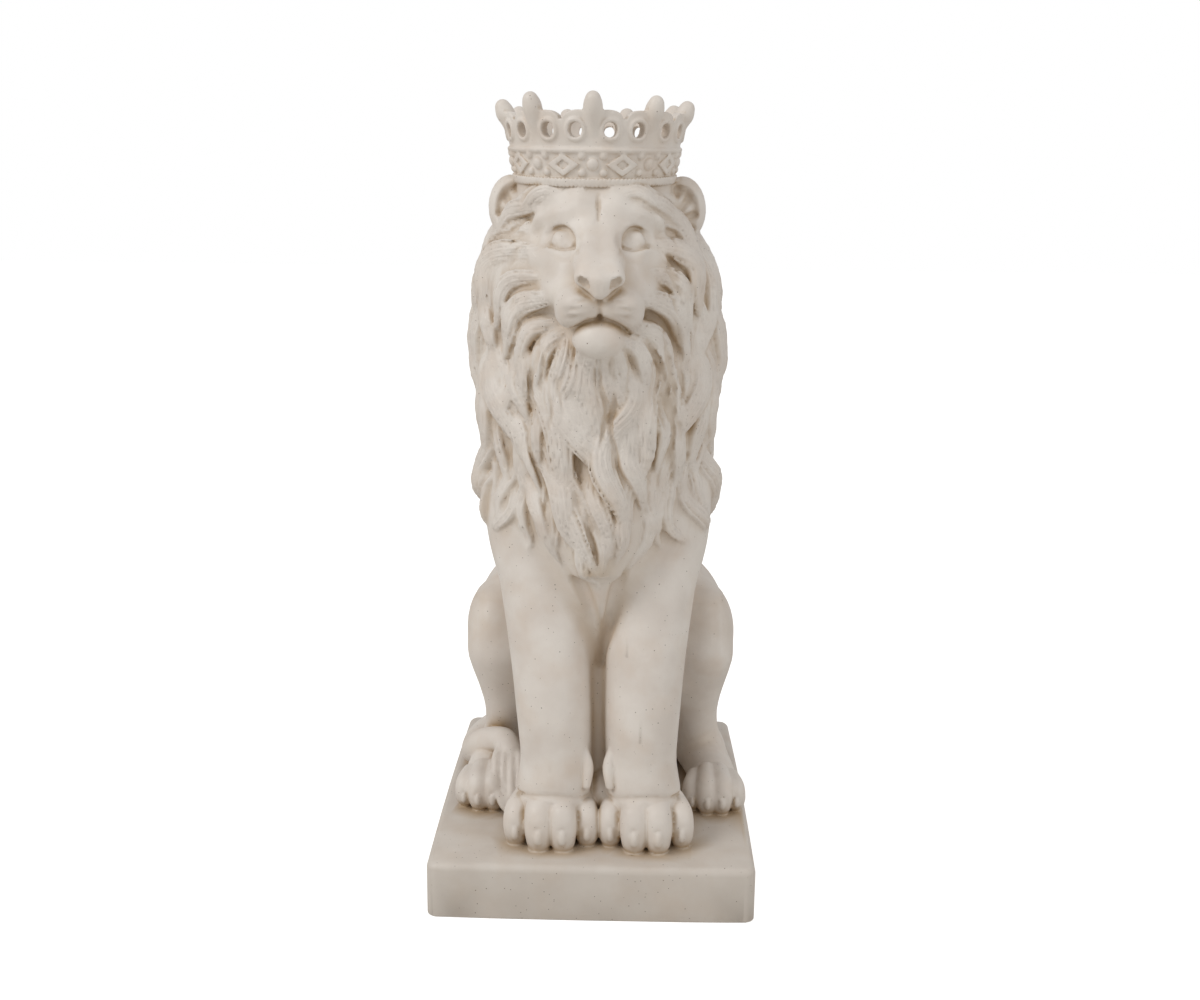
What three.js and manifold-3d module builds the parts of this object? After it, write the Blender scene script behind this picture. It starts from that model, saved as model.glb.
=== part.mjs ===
// A seated lion wearing a crown, on a rectangular plinth: one solid casting in
// sand-coloured stone resin. Millimetres, +Z up. The origin is the middle of the
// plinth's underside, the lion looks along -Y and +X is on its left.
//
// The lion and the crown are carved as distance fields: rounded masses are added
// to and cut from a grid of distances, the zero surface is meshed with marching
// tetrahedra, and edge collapse thins the mesh where it is flat. manifold-3d then
// joins lion, crown and plinth into one closed solid.
import * as THREE from "three";
import Module from "manifold-3d";
import { mergeVertices } from "three/addons/utils/BufferGeometryUtils.js";

// ---- Driving dimensions ----------------------------------------------------

const PLINTH = { width: 144, depth: 176, height: 25, corner: 5, edge: 3 };
const LION = { step: 2, foot: 12, top: 324, faces: 4400 };
const HEAD = { step: 1.3, low: [-52, -104, 236], high: [54, -8, 322], faces: 2400 };
const LEAN = { foot: 3, top: -2.5 }; // the figure's middle wanders off centre in X
const TURN = { y: -40, shift: 1.2, rate: 0.035 }; // the face slides to the lion's left
const CROWN = {
  step: 1.1,
  faces: 2200,
  middle: [0.1, -31, 312.9],
  dip: 0.085, // how far the foot drops towards the brow, for each millimetre forward
  footRadius: 33,
  flare: 0.2, // radius gained for each millimetre of height
  wall: 3.6,
  floor: 4, // the head closes the crown below this height
  bays: 9,
  notchHeight: 24.6,
  shoulderHeight: 27.2,
  knobHeight: 34,
  knobRadius: 3.8,
  holeHeight: 20.4,
  holeRadius: 2.7,
  holeAngle: 0.2, // on each side of a knob
};
const LEG = { spread: 19, width: 16.2, paw: 21 };
const EYE = { spread: 14.5, y: -66, z: 290 };
const FAR = 8; // distances are held to this, in millimetres, outside a shape

// ---- The distance grid -----------------------------------------------------

const clamp = THREE.MathUtils.clamp;
const lerp = THREE.MathUtils.lerp;

class Field {
  constructor(low, high, step) {
    this.low = low;
    this.step = step;
    this.size = low.map((v, i) => Math.ceil((high[i] - v) / step) + 1);
    this.data = new Float32Array(this.size[0] * this.size[1] * this.size[2]);
    this.data.fill(FAR);
  }

  // Runs change(old value, distance) on every grid point near a shape.
  sweep(shape, margin, change) {
    const [nx, ny] = this.size;
    const from = shape.low.map((v, i) =>
      Math.max(1, Math.floor((v - margin - this.low[i]) / this.step)),
    );
    const to = shape.high.map((v, i) =>
      Math.min(this.size[i] - 2, Math.ceil((v + margin - this.low[i]) / this.step)),
    );
    for (let k = from[2]; k <= to[2]; k++)
      for (let j = from[1]; j <= to[1]; j++)
        for (let i = from[0]; i <= to[0]; i++) {
          const at = i + nx * (j + ny * k);
          const d = shape.distance(
            this.low[0] + i * this.step,
            this.low[1] + j * this.step,
            this.low[2] + k * this.step,
          );
          this.data[at] = change(this.data[at], d);
        }
  }

  // Joins a shape on, with a fillet about as wide as blend.
  add(shape, blend = 0.01) {
    this.sweep(shape, FAR, (old, d) => {
      const h = Math.max(blend - Math.abs(old - d), 0) / blend;
      return Math.min(old, d) - (h * h * blend) / 4;
    });
  }

  // Cuts a shape away, with its edges rounded by blend.
  cut(shape, blend = 0.01) {
    this.sweep(shape, FAR, (old, d) => {
      const h = Math.max(blend - Math.abs(old + d), 0) / blend;
      return Math.max(old, -d) + (h * h * blend) / 4;
    });
  }
}

// ---- Shapes for the grid ---------------------------------------------------

// An ellipsoid, turned about X by pitch and then about Z by yaw.
function ball(centre, radii, pitch = 0, yaw = 0) {
  const reach = Math.max(...radii);
  const [cp, sp, cy, sy] = [Math.cos(pitch), Math.sin(pitch), Math.cos(yaw), Math.sin(yaw)];
  const [a, b, c] = radii;
  return {
    low: centre.map((v) => v - reach),
    high: centre.map((v) => v + reach),
    distance(x, y, z) {
      const dx = x - centre[0];
      const dy = y - centre[1];
      const dz = z - centre[2];
      const u = cy * dx + sy * dy;
      const side = -sy * dx + cy * dy;
      const v = cp * side + sp * dz;
      const w = -sp * side + cp * dz;
      const near = Math.hypot(u / a, v / b, w / c);
      const slope = Math.hypot(u / (a * a), v / (b * b), w / (c * c));
      return slope > 1e-9 ? (near * (near - 1)) / slope : -Math.min(a, b, c);
    },
  };
}

// A round limb through [x, y, z, radius] knots, joined by a smooth curve.
function limb(knots, pieces = 12) {
  const middle = new THREE.CatmullRomCurve3(
    knots.map(([x, y, z]) => new THREE.Vector3(x, y, z)),
  );
  const stations = Array.from({ length: pieces + 1 }, (_, i) => {
    const t = (i / pieces) * (knots.length - 1);
    const k = Math.min(Math.floor(t), knots.length - 2);
    const p = middle.getPoint(i / pieces);
    return [p.x, p.y, p.z, lerp(knots[k][3], knots[k + 1][3], t - k)];
  });
  const bound = (sign) =>
    [0, 1, 2].map((i) => sign * Math.max(...stations.map((s) => sign * s[i] + s[3])));
  return {
    low: bound(-1),
    high: bound(1),
    distance(x, y, z) {
      let best = Infinity;
      for (let i = 0; i < pieces; i++) {
        const [ax, ay, az, ar] = stations[i];
        const [bx, by, bz, br] = stations[i + 1];
        const [ux, uy, uz] = [bx - ax, by - ay, bz - az];
        const [px, py, pz] = [x - ax, y - ay, z - az];
        const t = clamp((px * ux + py * uy + pz * uz) / (ux * ux + uy * uy + uz * uz), 0, 1);
        const d = Math.hypot(px - t * ux, py - t * uy, pz - t * uz) - lerp(ar, br, t);
        if (d < best) best = d;
      }
      return best;
    },
  };
}

// A mass with an elliptical section at each height: rows of
// [z, middle y, half-width, half-depth], with a smooth curve between them.
function stack(rows) {
  const last = rows.length - 1;
  const at = (z) => {
    let k = 0;
    while (k < last - 1 && z > rows[k + 1][0]) k++;
    const t = clamp((z - rows[k][0]) / (rows[k + 1][0] - rows[k][0]), 0, 1);
    const [p, q] = [rows[Math.max(k - 1, 0)], rows[k]];
    const [r, s] = [rows[k + 1], rows[Math.min(k + 2, last)]];
    return [1, 2, 3].map((i) => {
      const slopeIn = ((r[i] - p[i]) / (r[0] - p[0])) * (r[0] - q[0]);
      const slopeOut = ((s[i] - q[i]) / (s[0] - q[0])) * (r[0] - q[0]);
      const t2 = t * t;
      const t3 = t2 * t;
      return (
        q[i] * (2 * t3 - 3 * t2 + 1) +
        slopeIn * (t3 - 2 * t2 + t) +
        r[i] * (3 * t2 - 2 * t3) +
        slopeOut * (t3 - t2)
      );
    });
  };
  const wide = Math.max(...rows.map((r) => r[2]));
  const front = Math.min(...rows.map((r) => r[1] - r[3]));
  const back = Math.max(...rows.map((r) => r[1] + r[3]));
  return {
    low: [-wide, front, rows[0][0]],
    high: [wide, back, rows[last][0]],
    at,
    distance(x, y, z) {
      const [cy, a, b] = at(z);
      const ring = (Math.hypot(x / a, (y - cy) / b) - 1) * Math.min(a, b);
      const past = Math.max(rows[0][0] - z, z - rows[last][0]);
      return past > 0 ? Math.hypot(Math.max(ring, 0), past) : ring;
    },
  };
}

// Both of a pair, at +X and -X. make(side) builds one of them.
const pair = (make) => [1, -1].map(make);

// ---- The lion's body -------------------------------------------------------

function carveBody(lion) {
  const trunk = limb([
    [0, 2, 205, 34],
    [0, 6, 165, 38],
    [0, 24, 115, 40],
    [0, 40, 72, 42],
    [0, 44, 50, 40],
  ]);
  lion.add(trunk);
  lion.add(ball([0, -26, 158], [34, 32, 38]), 14); // chest
  lion.add(ball([0, -28, 70], [20, 22, 62]), 4); // web of resin behind the forelegs
  const breast = limb([
    [0, -46, 170, 22],
    [0, -50, 146, 13],
    [0, -52, 128, 6],
    [0, -50, 108, 2.5],
  ]);
  lion.add(breast, 9);

  for (const shape of pair((side) => foreleg(side))) lion.add(shape, 7);
  for (const side of [1, -1]) {
    lion.add(ball([side * 33, -20, 165], [16, 26, 34], 0.25), 12); // shoulder
    lion.add(ball([side * 35, 34, 92], [29, 46, 42], -0.35), 10); // thigh
    lion.add(ball([side * 51.5, 8, 103], [12, 18, 20]), 10); // knee
    lion.add(shin(side), 8);
    forepaw(lion, side);
    hindpaw(lion, side);
  }
}

function foreleg(side) {
  const { spread, width } = LEG;
  return limb([
    [side * 31, -24, 178, 18],
    [side * 26, -36, 145, 18.5],
    [side * (spread + 2.5), -47, 110, width + 1.4],
    [side * (spread + 0.6), -53, 82, width + 0.4],
    [side * spread, -54, 62, width - 0.4],
    [side * (spread + 1), -55, 48, width + 0.4],
  ]);
}

function shin(side) {
  return limb([
    [side * 50, -2, 92, 12],
    [side * 46.5, 8, 64, 10.5],
    [side * 47, 16, 42, 11.5],
  ]);
}

// Toes fan out from the wrist: each bends over its knuckle down to the plinth.
function toes(lion, side, paw) {
  for (let i = 0; i < 4; i++) {
    const across = (i - 1.5) * paw.pitch;
    const outer = i === 0 || i === 3;
    const back = outer ? paw.setBack : 0;
    const x = side * paw.x + across;
    const toe = limb(
      [
        [side * paw.x + across * 0.75, paw.y + 22, paw.top - 2, paw.toe],
        [x, paw.y + 9 + back, paw.top - 1.5 - (outer ? 2.5 : 0), paw.toe],
        [x, paw.y + 1 + back, 37 - (outer ? 1 : 0), paw.toe],
        [x, paw.y - 1 + back, 30, paw.toe - 0.6],
      ],
      8,
    );
    lion.add(toe, 1.6);
  }
}

function forepaw(lion, side) {
  const { paw } = LEG;
  lion.add(ball([side * paw, -54, 34], [18.5, 19, 13]), 4);
  toes(lion, side, { x: paw, y: -70.4, top: 44, toe: 6.2, pitch: 10, setBack: 6 });
}

function hindpaw(lion, side) {
  const foot = limb([
    [side * 46, 46, 38, 13],
    [side * 50, 16, 36, 12],
    [side * 54, -8, 34, 11],
  ]);
  lion.add(foot, 5);
  lion.add(ball([side * 55, -20, 33], [12, 14, 10]), 3);
  toes(lion, side, { x: 55.6, y: -31.6, top: 40.5, toe: 4.6, pitch: 6.3, setBack: 4.5 });
}

// The tail leaves the rump, lies along the plinth outside the right hind foot,
// climbs over it and drops its tuft beside the foreleg.
function carveTail(lion) {
  const tail = limb(
    [
      [-12, 78, 36, 9],
      [-44, 70, 33, 8.5],
      [-61, 44, 32, 8],
      [-63, 16, 35, 7.5],
      [-57, 1, 45, 7],
      [-47, -9, 50, 6.5],
      [-43, -18, 48, 6],
    ],
    20,
  );
  lion.add(tail, 2);
  const tuft = limb([
    [-44, -13, 49, 6],
    [-43.5, -25, 44, 6.5],
    [-43, -32, 36, 5.5],
    [-41, -37, 27, 2],
  ]);
  lion.add(tuft, 2);
}

// ---- The head --------------------------------------------------------------

function carveHead(head) {
  head.add(capUnderCrown());
  head.add(ball([0, -38, 287], [31.5, 30, 29]), 3); // skull
  head.add(ball([0, -44, 300], [24, 22, 14]), 6); // forehead
  head.add(ball([0, -60, 252], [13, 17, 9]), 6); // jaw
  head.add(ball([0, -69, 264], [15.5, 17, 9]), 6); // muzzle
  for (const side of [1, -1]) {
    head.add(ball([side * 13.5, -50, 271], [14, 18, 18]), 7); // cheek
    head.add(ball([side * 11, -62, 279], [8.5, 13, 12]), 6); // beside the nose
    head.add(ball([side * 18.5, -56, 281], [8, 8.5, 6]), 6); // cheekbone
    const bridge = limb([
      [side * 4.2, -59, 304, 5.6],
      [side * 4.4, -63.5, 296, 5.4],
      [side * 4.4, -70, 288.5, 5.4],
      [side * 4.5, -80, 281, 5.3],
      [side * 4.6, -86, 277.5, 5],
    ]);
    head.add(bridge, 5);
    head.add(ball([side * 7.4, -60.5, 302.5], [5.6, 7, 6]), 3); // brow
    const browRidge = limb([
      [side * 9, -62.5, 298.2, 3.6],
      [side * 15.5, -61.5, 299.4, 3.6],
      [side * 22, -56, 296.5, 3],
    ]);
    head.add(browRidge, 4);
    head.add(ball([side * 8, -80.5, 264.6], [9.3, 10, 7]), 2.5); // lip
    head.add(ball([side * 11, -76.5, 260.2], [6.6, 9, 5.8]), 3); // corner of the lip
    head.add(ball([side * 6.2, -87.6, 275.2], [4.4, 6, 3.6]), 1.5); // wing of the nose
  }
  head.add(ball([0, -88.5, 273.8], [6.2, 6.6, 5.4]), 2); // nose
  head.add(ball([0, -89.2, 270], [3.6, 5.2, 3.6]), 1.5);
  head.add(ball([0, -75.5, 250.2], [11.3, 10.5, 6.8]), 1.2); // chin
  head.add(ball([0, -78, 254], [8.8, 9, 4.2]), 2);
  for (const side of [1, -1]) {
    eyeAndNostril(head, side);
    const lip = limb([
      [0, -90, 259.4, 1.4],
      [side * 4.5, -89.5, 258.6, 1.2],
      [side * 9, -86.5, 255.8, 1.2],
      [side * 15.5, -77, 250.8, 1.4],
    ]);
    head.cut(lip, 1);
    ear(head, side);
  }
  head.cut(limb([[0, -67.5, 307, 0.6], [0, -68.5, 297, 1]]), 1.5); // forehead furrow
}

// A cone of resin that fills the foot of the crown from below.
function capUnderCrown() {
  const reach = CROWN.footRadius + 1;
  const [cx, cy] = [-TURN.shift, CROWN.middle[1]];
  return {
    low: [-reach, cy - reach, 290],
    high: [reach, cy + reach, 314],
    distance(x, y, z) {
      const side = Math.hypot(x - cx, y - cy) - 32.4 + 1.3 * Math.max(311 - z, 0);
      return Math.max(side * 0.62, Math.abs(z - 302) - 11);
    },
  };
}

function eyeAndNostril(head, side) {
  const { spread, y, z } = EYE;
  head.cut(ball([side * spread, y - 6, z], [6.8, 4.6, 5]), 3);
  head.add(ball([side * spread, y + 1, z], [5.4, 4.4, 4.6]), 0.4);
  const lid = limb([
    [side * (spread - 6), y - 1, z - 4, 0.9],
    [side * (spread - 5), y - 1.4, z + 3, 1.1],
    [side * spread, y - 1, z + 6, 1.1],
    [side * (spread + 5.4), y + 1, z + 3, 1.1],
    [side * (spread + 7.6), y + 2.4, z - 2.4, 0.9],
  ]);
  head.add(lid, 1.2);
  head.cut(limb([[side * 4.8, -94.5, 272.8, 1.3], [side * 7.4, -92.5, 274.6, 1.6]]), 0.8);
}

function ear(head, side) {
  const turn = side * 0.35;
  head.add(ball([side * 36.8, -31, 302], [9.8, 8, 13.4], -0.1, turn), 2.5);
  head.cut(ball([side * 36.6, -40, 302], [7, 8, 10.8], -0.1, turn), 1.6);
  head.add(ball([side * 31, -36.5, 295], [6, 5, 9]), 3);
}

// ---- The mane --------------------------------------------------------------

const MANE = stack([
  [150, -14, 15, 56],
  [165, -14, 33, 55.5],
  [190, -14, 43.5, 54],
  [228, -14, 49.5, 52],
  [262, -10, 51, 45],
  [285, -8, 45, 40],
  [300, -10, 37, 33],
  [310, -17, 29, 25],
  [317, -25, 19, 15],
]);

// A point on the mane, at an angle round from the front and a height.
function onMane(angle, z, lift) {
  const [cy, a, b] = MANE.at(clamp(z, 148, 317));
  const [sin, cos] = [Math.sin(angle), Math.cos(angle)];
  const out = new THREE.Vector3(sin / a, -cos / b, 0).normalize();
  const foot = new THREE.Vector3(a * sin, cy - b * cos, z);
  return { point: foot.addScaledVector(out, lift), out };
}

// How far round the hair swings for each millimetre it falls: away from the face
// beside the cheeks, and in towards the breastbone low on the chest.
function swing(angle, z) {
  const front = Math.exp(-Math.pow((Math.abs(angle) - 0.6) / 0.55, 2));
  const away = 0.017 * front * THREE.MathUtils.smoothstep(z, 235, 285);
  const inward = 1 - THREE.MathUtils.smoothstep(z, 165, 235);
  const pull = Math.abs(angle) < 1.7 ? 0.009 * inward * Math.abs(angle) : 0;
  return Math.sign(angle) * (away - pull);
}

// One lock of hair: a flattened, tapering band that snakes as it falls.
function lock(angle, z, length, { width, lift, phase, root = null }) {
  const pieces = 10;
  let turn = angle;
  let fall = z;
  const start = onMane(angle, z, 0).point;
  const offset = root ? new THREE.Vector3(...root).sub(start) : new THREE.Vector3();
  const stations = Array.from({ length: pieces + 1 }, (_, i) => {
    const t = i / pieces;
    const rise = lift * Math.sin(Math.PI * Math.min(t + 0.15, 1)) - 0.6 * t * t;
    const { point, out } = onMane(turn, fall, rise);
    point.addScaledVector(offset, (1 - t) * (1 - t));
    const snake = 0.0105 * Math.cos(phase + t * 5.2);
    const step = length / pieces;
    const slope = swing(turn, fall) + snake;
    const down = step / Math.hypot(1, slope * 50);
    turn += slope * down;
    fall -= down;
    const swell = Math.pow(Math.sin(Math.PI * Math.pow(0.2 + 0.8 * t, 0.75)), 0.75);
    return { point, out, half: 0.7 + (width - 0.7) * (swell || 0) };
  });
  const axis = (name, sign) =>
    sign * Math.max(...stations.map((s) => sign * s.point[name] + width));
  return {
    low: ["x", "y", "z"].map((n) => axis(n, -1)),
    high: ["x", "y", "z"].map((n) => axis(n, 1)),
    distance(x, y, w) {
      let best = Infinity;
      for (let i = 0; i < pieces; i++) {
        const [a, b] = [stations[i], stations[i + 1]];
        const ux = b.point.x - a.point.x;
        const uy = b.point.y - a.point.y;
        const uz = b.point.z - a.point.z;
        let [dx, dy, dz] = [x - a.point.x, y - a.point.y, w - a.point.z];
        const t = clamp((dx * ux + dy * uy + dz * uz) / (ux * ux + uy * uy + uz * uz), 0, 1);
        dx -= t * ux;
        dy -= t * uy;
        dz -= t * uz;
        const half = lerp(a.half, b.half, t);
        const rise = dx * a.out.x + dy * a.out.y + dz * a.out.z;
        const side = Math.sqrt(Math.max(dx * dx + dy * dy + dz * dz - rise * rise, 0));
        const d = (Math.hypot(side / half, rise / (half * 0.8)) - 1) * half * 0.8;
        if (d < best) best = d;
      }
      return best;
    },
  };
}

// Tiers of locks, from the nape down to the point on the chest. Each tier's roots
// stand between those of the tier above, so tips fall into the gaps.
function carveMane(lion) {
  lion.add(MANE, 8);
  lion.add(ball([0, -31, 268], [46, 35.5, 44]), 8); // cheeks of hair
  lion.add(ball([0, -45, 240], [30, 26, 26]), 10); // beard
  const whole = Math.PI * 2;
  const tiers = [
    { z: 310, from: 1.35, to: whole - 1.35, count: 9, length: 48, lift: 3, width: 5.5 },
    { z: 288, from: 1.1, to: whole - 1.1, count: 13, length: 54, lift: 4, width: 6 },
    { z: 262, from: 0.75, to: whole - 0.75, count: 17, length: 56, lift: 5, width: 6 },
    { z: 240, from: -1, to: 1, count: 8, length: 50, lift: 5, width: 5.6 },
    { z: 233, from: 1, to: whole - 1, count: 15, length: 54, lift: 5, width: 6 },
    { z: 214, from: -1.2, to: 1.2, count: 9, length: 50, lift: 5, width: 5.6 },
    { z: 204, from: 1.1, to: whole - 1.1, count: 14, length: 42, lift: 4, width: 5.6 },
    { z: 190, from: -0.9, to: 0.9, count: 6, length: 44, lift: 4.5, width: 5.2 },
  ];
  tiers.forEach((tier, row) => {
    for (let i = 0; i < tier.count; i++) {
      const share = (i + 0.5 + (row % 2) * 0.25) / tier.count;
      const turn = lerp(tier.from, tier.to, share);
      const angle = turn > Math.PI ? turn - whole : turn;
      const length = tier.length * (1 + 0.14 * Math.sin(5 * i + 2 * row));
      const phase = 2.4 * i + row;
      const z = tier.z + 4 * Math.sin(7 * i + row);
      lion.add(lock(angle, z, length, { ...tier, phase }), 1.2);
    }
  });
  // The ruff: locks that spring from the edge of the face, from ear to chin.
  for (const side of [1, -1])
    for (let i = 0; i < 7; i++) {
      const around = lerp(0.75, 2.6, i / 6);
      const x = 26 * Math.sin(around);
      const z = 272 + 29 * Math.cos(around);
      const root = [side * (x - 1), -55 - 1.6 * i, z];
      const angle = side * (Math.asin(x / 48) + 0.25 - 0.03 * i);
      const shape = { width: 5.6, lift: 5, phase: 1.6 * i + 0.6 * side, root };
      lion.add(lock(angle, z - 4, 46 + 5 * Math.sin(3 * i), shape), 1.2);
    }
}

// ---- The crown -------------------------------------------------------------

// The height of the crown's wall at an angle round from the front.
function rimHeight(angle) {
  const bay = (Math.PI * 2) / CROWN.bays;
  const off = Math.abs(angle - bay * Math.round(angle / bay));
  const rise = Math.cos((off / bay) * Math.PI);
  return lerp(CROWN.notchHeight, CROWN.shoulderHeight, clamp(rise * 1.4, 0, 1));
}

// Works in the crown's own frame: Z is its axis and 0 its foot.
function carveCrown(crown) {
  const { footRadius, flare, wall, floor, bays } = CROWN;
  const reach = footRadius + flare * CROWN.knobHeight + 4;
  const room = { low: [-reach, -reach, -8], high: [reach, reach, CROWN.knobHeight + 1] };
  const band = {
    ...room,
    distance(x, y, z) {
      const side = Math.hypot(x, y) - (footRadius + flare * Math.max(z, 0));
      const out = Math.max(side, -side - wall);
      const ends = Math.max(-6 - z, z - rimHeight(Math.atan2(x, -y)));
      const bowl = Math.max(side, z - floor, -6 - z);
      return Math.min(Math.max(out, ends), bowl);
    },
  };
  crown.add(band);
  const bead = (z, size) => ({
    ...room,
    distance: (x, y, w) =>
      Math.hypot(Math.hypot(x, y) - (footRadius + flare * z), w - z) - size,
  });
  crown.add(bead(1.5, 1.7), 0.8);
  crown.add(bead(13.1, 1.4), 0.8);

  const place = (angle, z, out = 0) => {
    const r = footRadius + flare * z + out;
    return [r * Math.sin(angle), -r * Math.cos(angle), z];
  };
  for (let i = 0; i < bays; i++) {
    const angle = (i * Math.PI * 2) / bays;
    const { knobHeight, knobRadius, holeAngle, holeHeight, holeRadius } = CROWN;
    const tip = knobHeight - 1.2 * (1 - Math.cos(angle)) + 0.6 * Math.sin(5 * i);
    crown.add(
      limb([
        [...place(angle, 22, -1.6), 2.8],
        [...place(angle, 27, -1), knobRadius],
        [...place(angle, tip - 3, 0.4), 2.9],
      ]),
      2,
    );
    for (const side of [-1, 1]) {
      const [near, far] = [-8, 5].map((out) => place(angle + side * holeAngle, holeHeight, out));
      crown.cut(limb([[...near, holeRadius], [...far, holeRadius]], 1), 0.6);
    }
    crown.add(ball(place(angle, 8.8), [2.4, 2.4, 2.4]), 0.5);
    const gem = angle + Math.PI / bays;
    crown.add(diamond(gem, 8));
  }
}

// A lozenge standing 1.1 mm proud of the band, at an angle round from the front.
function diamond(angle, z) {
  const { footRadius, flare } = CROWN;
  const radius = footRadius + flare * z;
  const [halfWidth, halfHeight, proud] = [6.4, 4.2, 1.1];
  const centre = [radius * Math.sin(angle), -radius * Math.cos(angle), z];
  return {
    low: centre.map((v) => v - 7),
    high: centre.map((v) => v + 7),
    distance(x, y, w) {
      const along = radius * Math.atan2(
        x * Math.cos(angle) + y * Math.sin(angle),
        x * Math.sin(angle) - y * Math.cos(angle),
      );
      const edge = Math.abs(along) / halfWidth + Math.abs(w - z) / halfHeight - 1;
      const side = Math.hypot(x, y) - (footRadius + flare * w);
      return Math.max(edge * 3.5, side - proud, -side - 1);
    },
  };
}

// ---- From a field to a thin, closed mesh -----------------------------------

// Marching tetrahedra: six to a cell, all sharing the cell's long diagonal.
function surfaceOf(field) {
  const { size, data, low, step } = field;
  const [nx, ny, nz] = size;
  const corner = (i) => (i & 1) + nx * (((i >> 1) & 1) + ny * ((i >> 2) & 1));
  const tetrahedra = [
    [0, 1, 3, 7],
    [0, 3, 2, 7],
    [0, 2, 6, 7],
    [0, 6, 4, 7],
    [0, 4, 5, 7],
    [0, 5, 1, 7],
  ];
  const points = [];
  const faces = [];
  const known = new Map();
  const position = (at) => [
    at % nx,
    Math.floor(at / nx) % ny,
    Math.floor(at / (nx * ny)),
  ];
  const crossing = (a, b) => {
    const key = a < b ? a * data.length + b : b * data.length + a;
    let index = known.get(key);
    if (index === undefined) {
      const t = clamp(data[a] / (data[a] - data[b]), 0.03, 0.97);
      const [p, q] = [position(a), position(b)];
      index = points.length;
      points.push(p.map((v, i) => low[i] + step * lerp(v, q[i], t)));
      known.set(key, index);
    }
    return index;
  };
  const middle = (ids) => {
    const sum = [0, 0, 0];
    for (const id of ids) position(id).forEach((v, i) => (sum[i] += v / ids.length));
    return sum;
  };
  const face = (a, b, c, inside, outside) => {
    const [p, q, r] = [points[a], points[b], points[c]].map((v) => new THREE.Vector3(...v));
    const normal = q.sub(p).cross(r.sub(p));
    const [from, to] = [middle(inside), middle(outside)];
    const outward = new THREE.Vector3(...to.map((v, i) => v - from[i]));
    faces.push(normal.dot(outward) > 0 ? [a, b, c] : [a, c, b]);
  };
  for (let k = 0; k < nz - 1; k++)
    for (let j = 0; j < ny - 1; j++)
      for (let i = 0; i < nx - 1; i++) {
        const base = i + nx * (j + ny * k);
        const first = data[base] < 0;
        let mixed = false;
        for (let c = 1; c < 8 && !mixed; c++) mixed = data[base + corner(c)] < 0 !== first;
        if (!mixed) continue;
        for (const tetrahedron of tetrahedra) {
          const ids = tetrahedron.map((c) => base + corner(c));
          const inside = ids.filter((id) => data[id] < 0);
          const outside = ids.filter((id) => data[id] >= 0);
          if (!inside.length || !outside.length) continue;
          if (inside.length === 2) {
            const [a, b] = inside;
            const [c, d] = outside;
            const quad = [crossing(a, c), crossing(a, d), crossing(b, d), crossing(b, c)];
            face(quad[0], quad[1], quad[2], inside, outside);
            face(quad[0], quad[2], quad[3], inside, outside);
          } else {
            const [lone] = inside.length === 1 ? inside : outside;
            const others = ids.filter((id) => id !== lone);
            face(...others.map((id) => crossing(lone, id)), inside, outside);
          }
        }
      }
  return { points, faces };
}

// Each vertex's error quadric: ten sums over the planes of its faces.
function quadrics({ points, faces }) {
  const sums = points.map(() => new Float64Array(10));
  for (const [a, b, c] of faces) {
    const [p, q, r] = [a, b, c].map((i) => new THREE.Vector3(...points[i]));
    const n = q.clone().sub(p).cross(r.clone().sub(p));
    const area = n.length() / 2;
    if (area < 1e-9) continue;
    n.normalize();
    const d = -n.dot(p);
    const plane = [n.x, n.y, n.z, d];
    let slot = 0;
    for (let i = 0; i < 4; i++)
      for (let j = i; j < 4; j++, slot++)
        for (const v of [a, b, c]) sums[v][slot] += area * plane[i] * plane[j];
  }
  return sums;
}

const quadricError = (q, [x, y, z]) =>
  q[0] * x * x + 2 * q[1] * x * y + 2 * q[2] * x * z + 2 * q[3] * x +
  q[4] * y * y + 2 * q[5] * y * z + 2 * q[6] * y +
  q[7] * z * z + 2 * q[8] * z + q[9];

// The point of least error for a merged vertex, or the middle where planes agree.
function bestPoint(q, p, r) {
  const m = new THREE.Matrix3().set(q[0], q[1], q[2], q[1], q[4], q[5], q[2], q[5], q[7]);
  const scale = Math.pow((q[0] + q[4] + q[7]) / 3, 3);
  const half = p.map((v, i) => (v + r[i]) / 2);
  if (Math.abs(m.determinant()) < 1e-3 * scale) return half;
  const v = new THREE.Vector3(-q[3], -q[6], -q[8]).applyMatrix3(m.invert()).toArray();
  const stray = Math.hypot(...v.map((x, i) => x - half[i]));
  return stray < Math.hypot(...p.map((x, i) => x - r[i])) * 1.5 ? v : half;
}

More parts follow.
